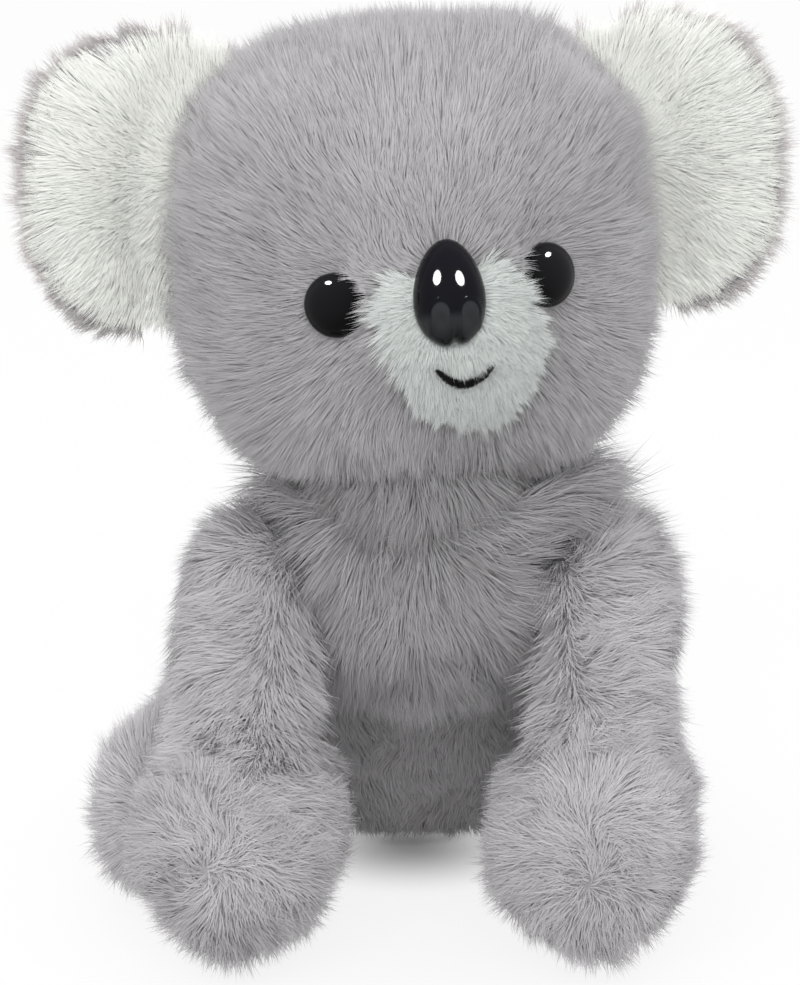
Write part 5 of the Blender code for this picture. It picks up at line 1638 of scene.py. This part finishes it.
for name, side in SIDES.items():
    for leg, count, seed, comb, *flat in (
        ("front", 57000, 31, comb_front_leg(side), arm_plane(side), SHOULDER, FRONT_PRESSED),
        ("hind", 32000, 41, comb_hind_leg(side), side * HIP_INNER, HIP, HIND_PRESSED),
    ):
        body = f"{name}_{leg}_leg"
        pad(leg_skins[body], grey_backing, "grey_pile", body, 0.7, f"{body}_skin", f"{body}_stuffing")
        coat(f"{body}_pile", leg_skins[body], many(count), seed + int(side), comb, body, grey_pile,
             "grey_pile", keep=keep_leg(side, *flat), **LEG_TUFTS)
    body = f"{name}_ear"
    pad(ear_skins[name], grey_backing, "grey_pile", body, 0.3, f"{name}_ear_back_panel")
    pad(ear_whites[name], white_backing, "white_pile", body, 0.3, f"{name}_ear_front_panel")
    # The ears' backs get the lighter warm pile, as painted light on their rims.
    coat(f"{name}_ear_back_pile", ear_skins[name], many(16000), 51 + int(side),
         comb_ear(name, 0.0060, 0.9, 0.6), body, warm_lit_pile, "grey_pile", keep=keep_facing(-0.45, 1.0),
         tuft_pull=0.20, sway=0.4)
    coat(f"{name}_ear_white_pile", ear_whites[name], many(30000), 61 + int(side),
         comb_ear(name, 0.0062, 0.95, 0.50, 0.0032), body, white_pile, "white_pile",
         keep=keep_facing(0.30, -1.0), width=0.00030, tuft_pull=0.02, sway=0.25)

# %% The face
for name, thing in buttons.items():
    dress(thing, nose_plastic if name == "nose" else black_plastic)
    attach(thing, "head")
    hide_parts(name)
    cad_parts[f"{name}_washer"].data.materials.clear()
    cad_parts[f"{name}_washer"].data.materials.append(washer_plastic)

dress(mouth_cord, black_thread)
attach(mouth_cord, "head")
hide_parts("mouth_stitching")


def mouth_fuzz(count, seed):
    """Loose fibres along the smile, most of them across it, shorter towards its ends."""
    rng = np.random.default_rng(seed)
    share, line, out = mouth_line(400, -0.0002)
    pick = rng.integers(0, len(line), count)
    ahead = unit(np.gradient(line, axis=0))[pick]
    side = np.cross(ahead, out[pick])
    turn = rng.uniform(-0.2 * math.pi, 1.2 * math.pi, (count, 1))
    lean = rng.normal(0.0, 1.1, (count, 1))
    thick = (1.0 - 0.65 * np.abs(share[pick]) ** 2.0)[:, None]
    aim = unit(np.cos(turn) * side + np.sin(turn) * out[pick] + lean * ahead)
    root = line[pick] + 0.0002 * thick * aim
    reach = rng.uniform(0.0005, 0.0013, (count, 1)) * thick
    curl = rng.normal(0.0, 0.0002, (count, 3))
    path = np.stack([root, root + 0.5 * reach * aim + curl, root + reach * aim], axis=1)
    return head_world(path.reshape(-1, 3)).reshape(path.shape), out[pick] @ HEAD_SPIN.T


path, normals = mouth_fuzz(2600, 81)
rng = np.random.default_rng(82)
fuzz = strand_mesh("mouth_fuzz", path, normals, rng.random(len(path)), 0.00016, rng)
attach(dress(fuzz, black_thread), "head")
print("mouth fuzz:", len(path), "fibres")

# %% [markdown]
# ## Catch lights
#
# Photographers give eyes their sparkle with small lamps that are too weak to
# light the toy. These light only the black buttons: two for the nose, one for
# each eye. The large box leaves the buttons out.

# %% Catch lights
NOSE_CATCH = (13.0 * CATCH_POWER, (0.74, 0.48))
EYE_CATCH = (6.0 * CATCH_POWER, (0.38, 0.30))


def light_only(lamp, things, state="INCLUDE"):
    """Links a lamp to a group of pieces: it lights these only, or all but these."""
    group = bpy.data.collections.new(f"{lamp.name}_lights")
    for thing in things:
        group.objects.link(thing)
    for link in group.collection_objects:
        link.light_linking.link_state = state
    lamp.light_linking.receiver_collection = group


light_only(front_box, buttons.values(), "EXCLUDE")
for name, button, place, (power, size) in (
    ("nose_left_catch", "nose", (-0.98, -0.88, 1.00), NOSE_CATCH),
    ("nose_right_catch", "nose", (0.86, -0.88, 1.00), NOSE_CATCH),
    ("left_eye_catch", "left_eye", (-0.665, -0.384, 1.056), EYE_CATCH),
    ("right_eye_catch", "right_eye", (0.686, -0.337, 1.056), EYE_CATCH),
):
    lamp = add_soft_box(name, place, TOY_MIDDLE, power, size, "ELLIPSE")
    light_only(lamp, [buttons[button]])

# %% The neck
NECK_PAD_RADIUS = 0.0190


def ball_rings(centre, radius, rows=24, around=40):
    """Level rings of a ball, with its two poles."""
    tilt = np.linspace(0.0, math.pi, rows + 1)[:, None]
    turn = full_turn(around)[None, :]
    up = np.cos(tilt) + 0 * turn
    points = np.stack([np.sin(tilt) * np.cos(turn), np.sin(tilt) * np.sin(turn), up], axis=-1)
    points = centre + radius * points
    return points[0, 0], points[1:-1], points[-1, 0]


neck_pad = ring_surface("neck_pad", *ball_rings(NECK_PIVOT, NECK_PAD_RADIUS))
pad(neck_pad, fibre_filling, "fibre_filling", "neck", 0.8, "neck_stuffing")


def comb_neck(points, normals):
    """Outwards and down from under the chin, over the chest's rim."""
    flow = points - NECK_PIVOT + np.array([0.0, -0.004, -0.030])
    # Painted shade: the neck's pile is toned dark, as the shadow under the chin.
    return {"flow": unit(flow), "length": 0.0125, "lift": 1.15, "tip_lift": 0.45, "tone": -0.50}


def keep_neck(points, normals):
    """The band that shows between the chin and the chest."""
    height = points[:, 2] - NECK_PIVOT[2]
    level = smooth(-0.016, -0.010, height) * (1.0 - smooth(0.000, 0.008, height))
    return level * (1.0 - smooth(0.1, 0.5, normals[:, 1]))


coat("neck_pile", neck_pad, many(12000), 91, comb_neck, "neck", grey_pile, "grey_pile",
     keep=keep_neck, **BODY_TUFTS)
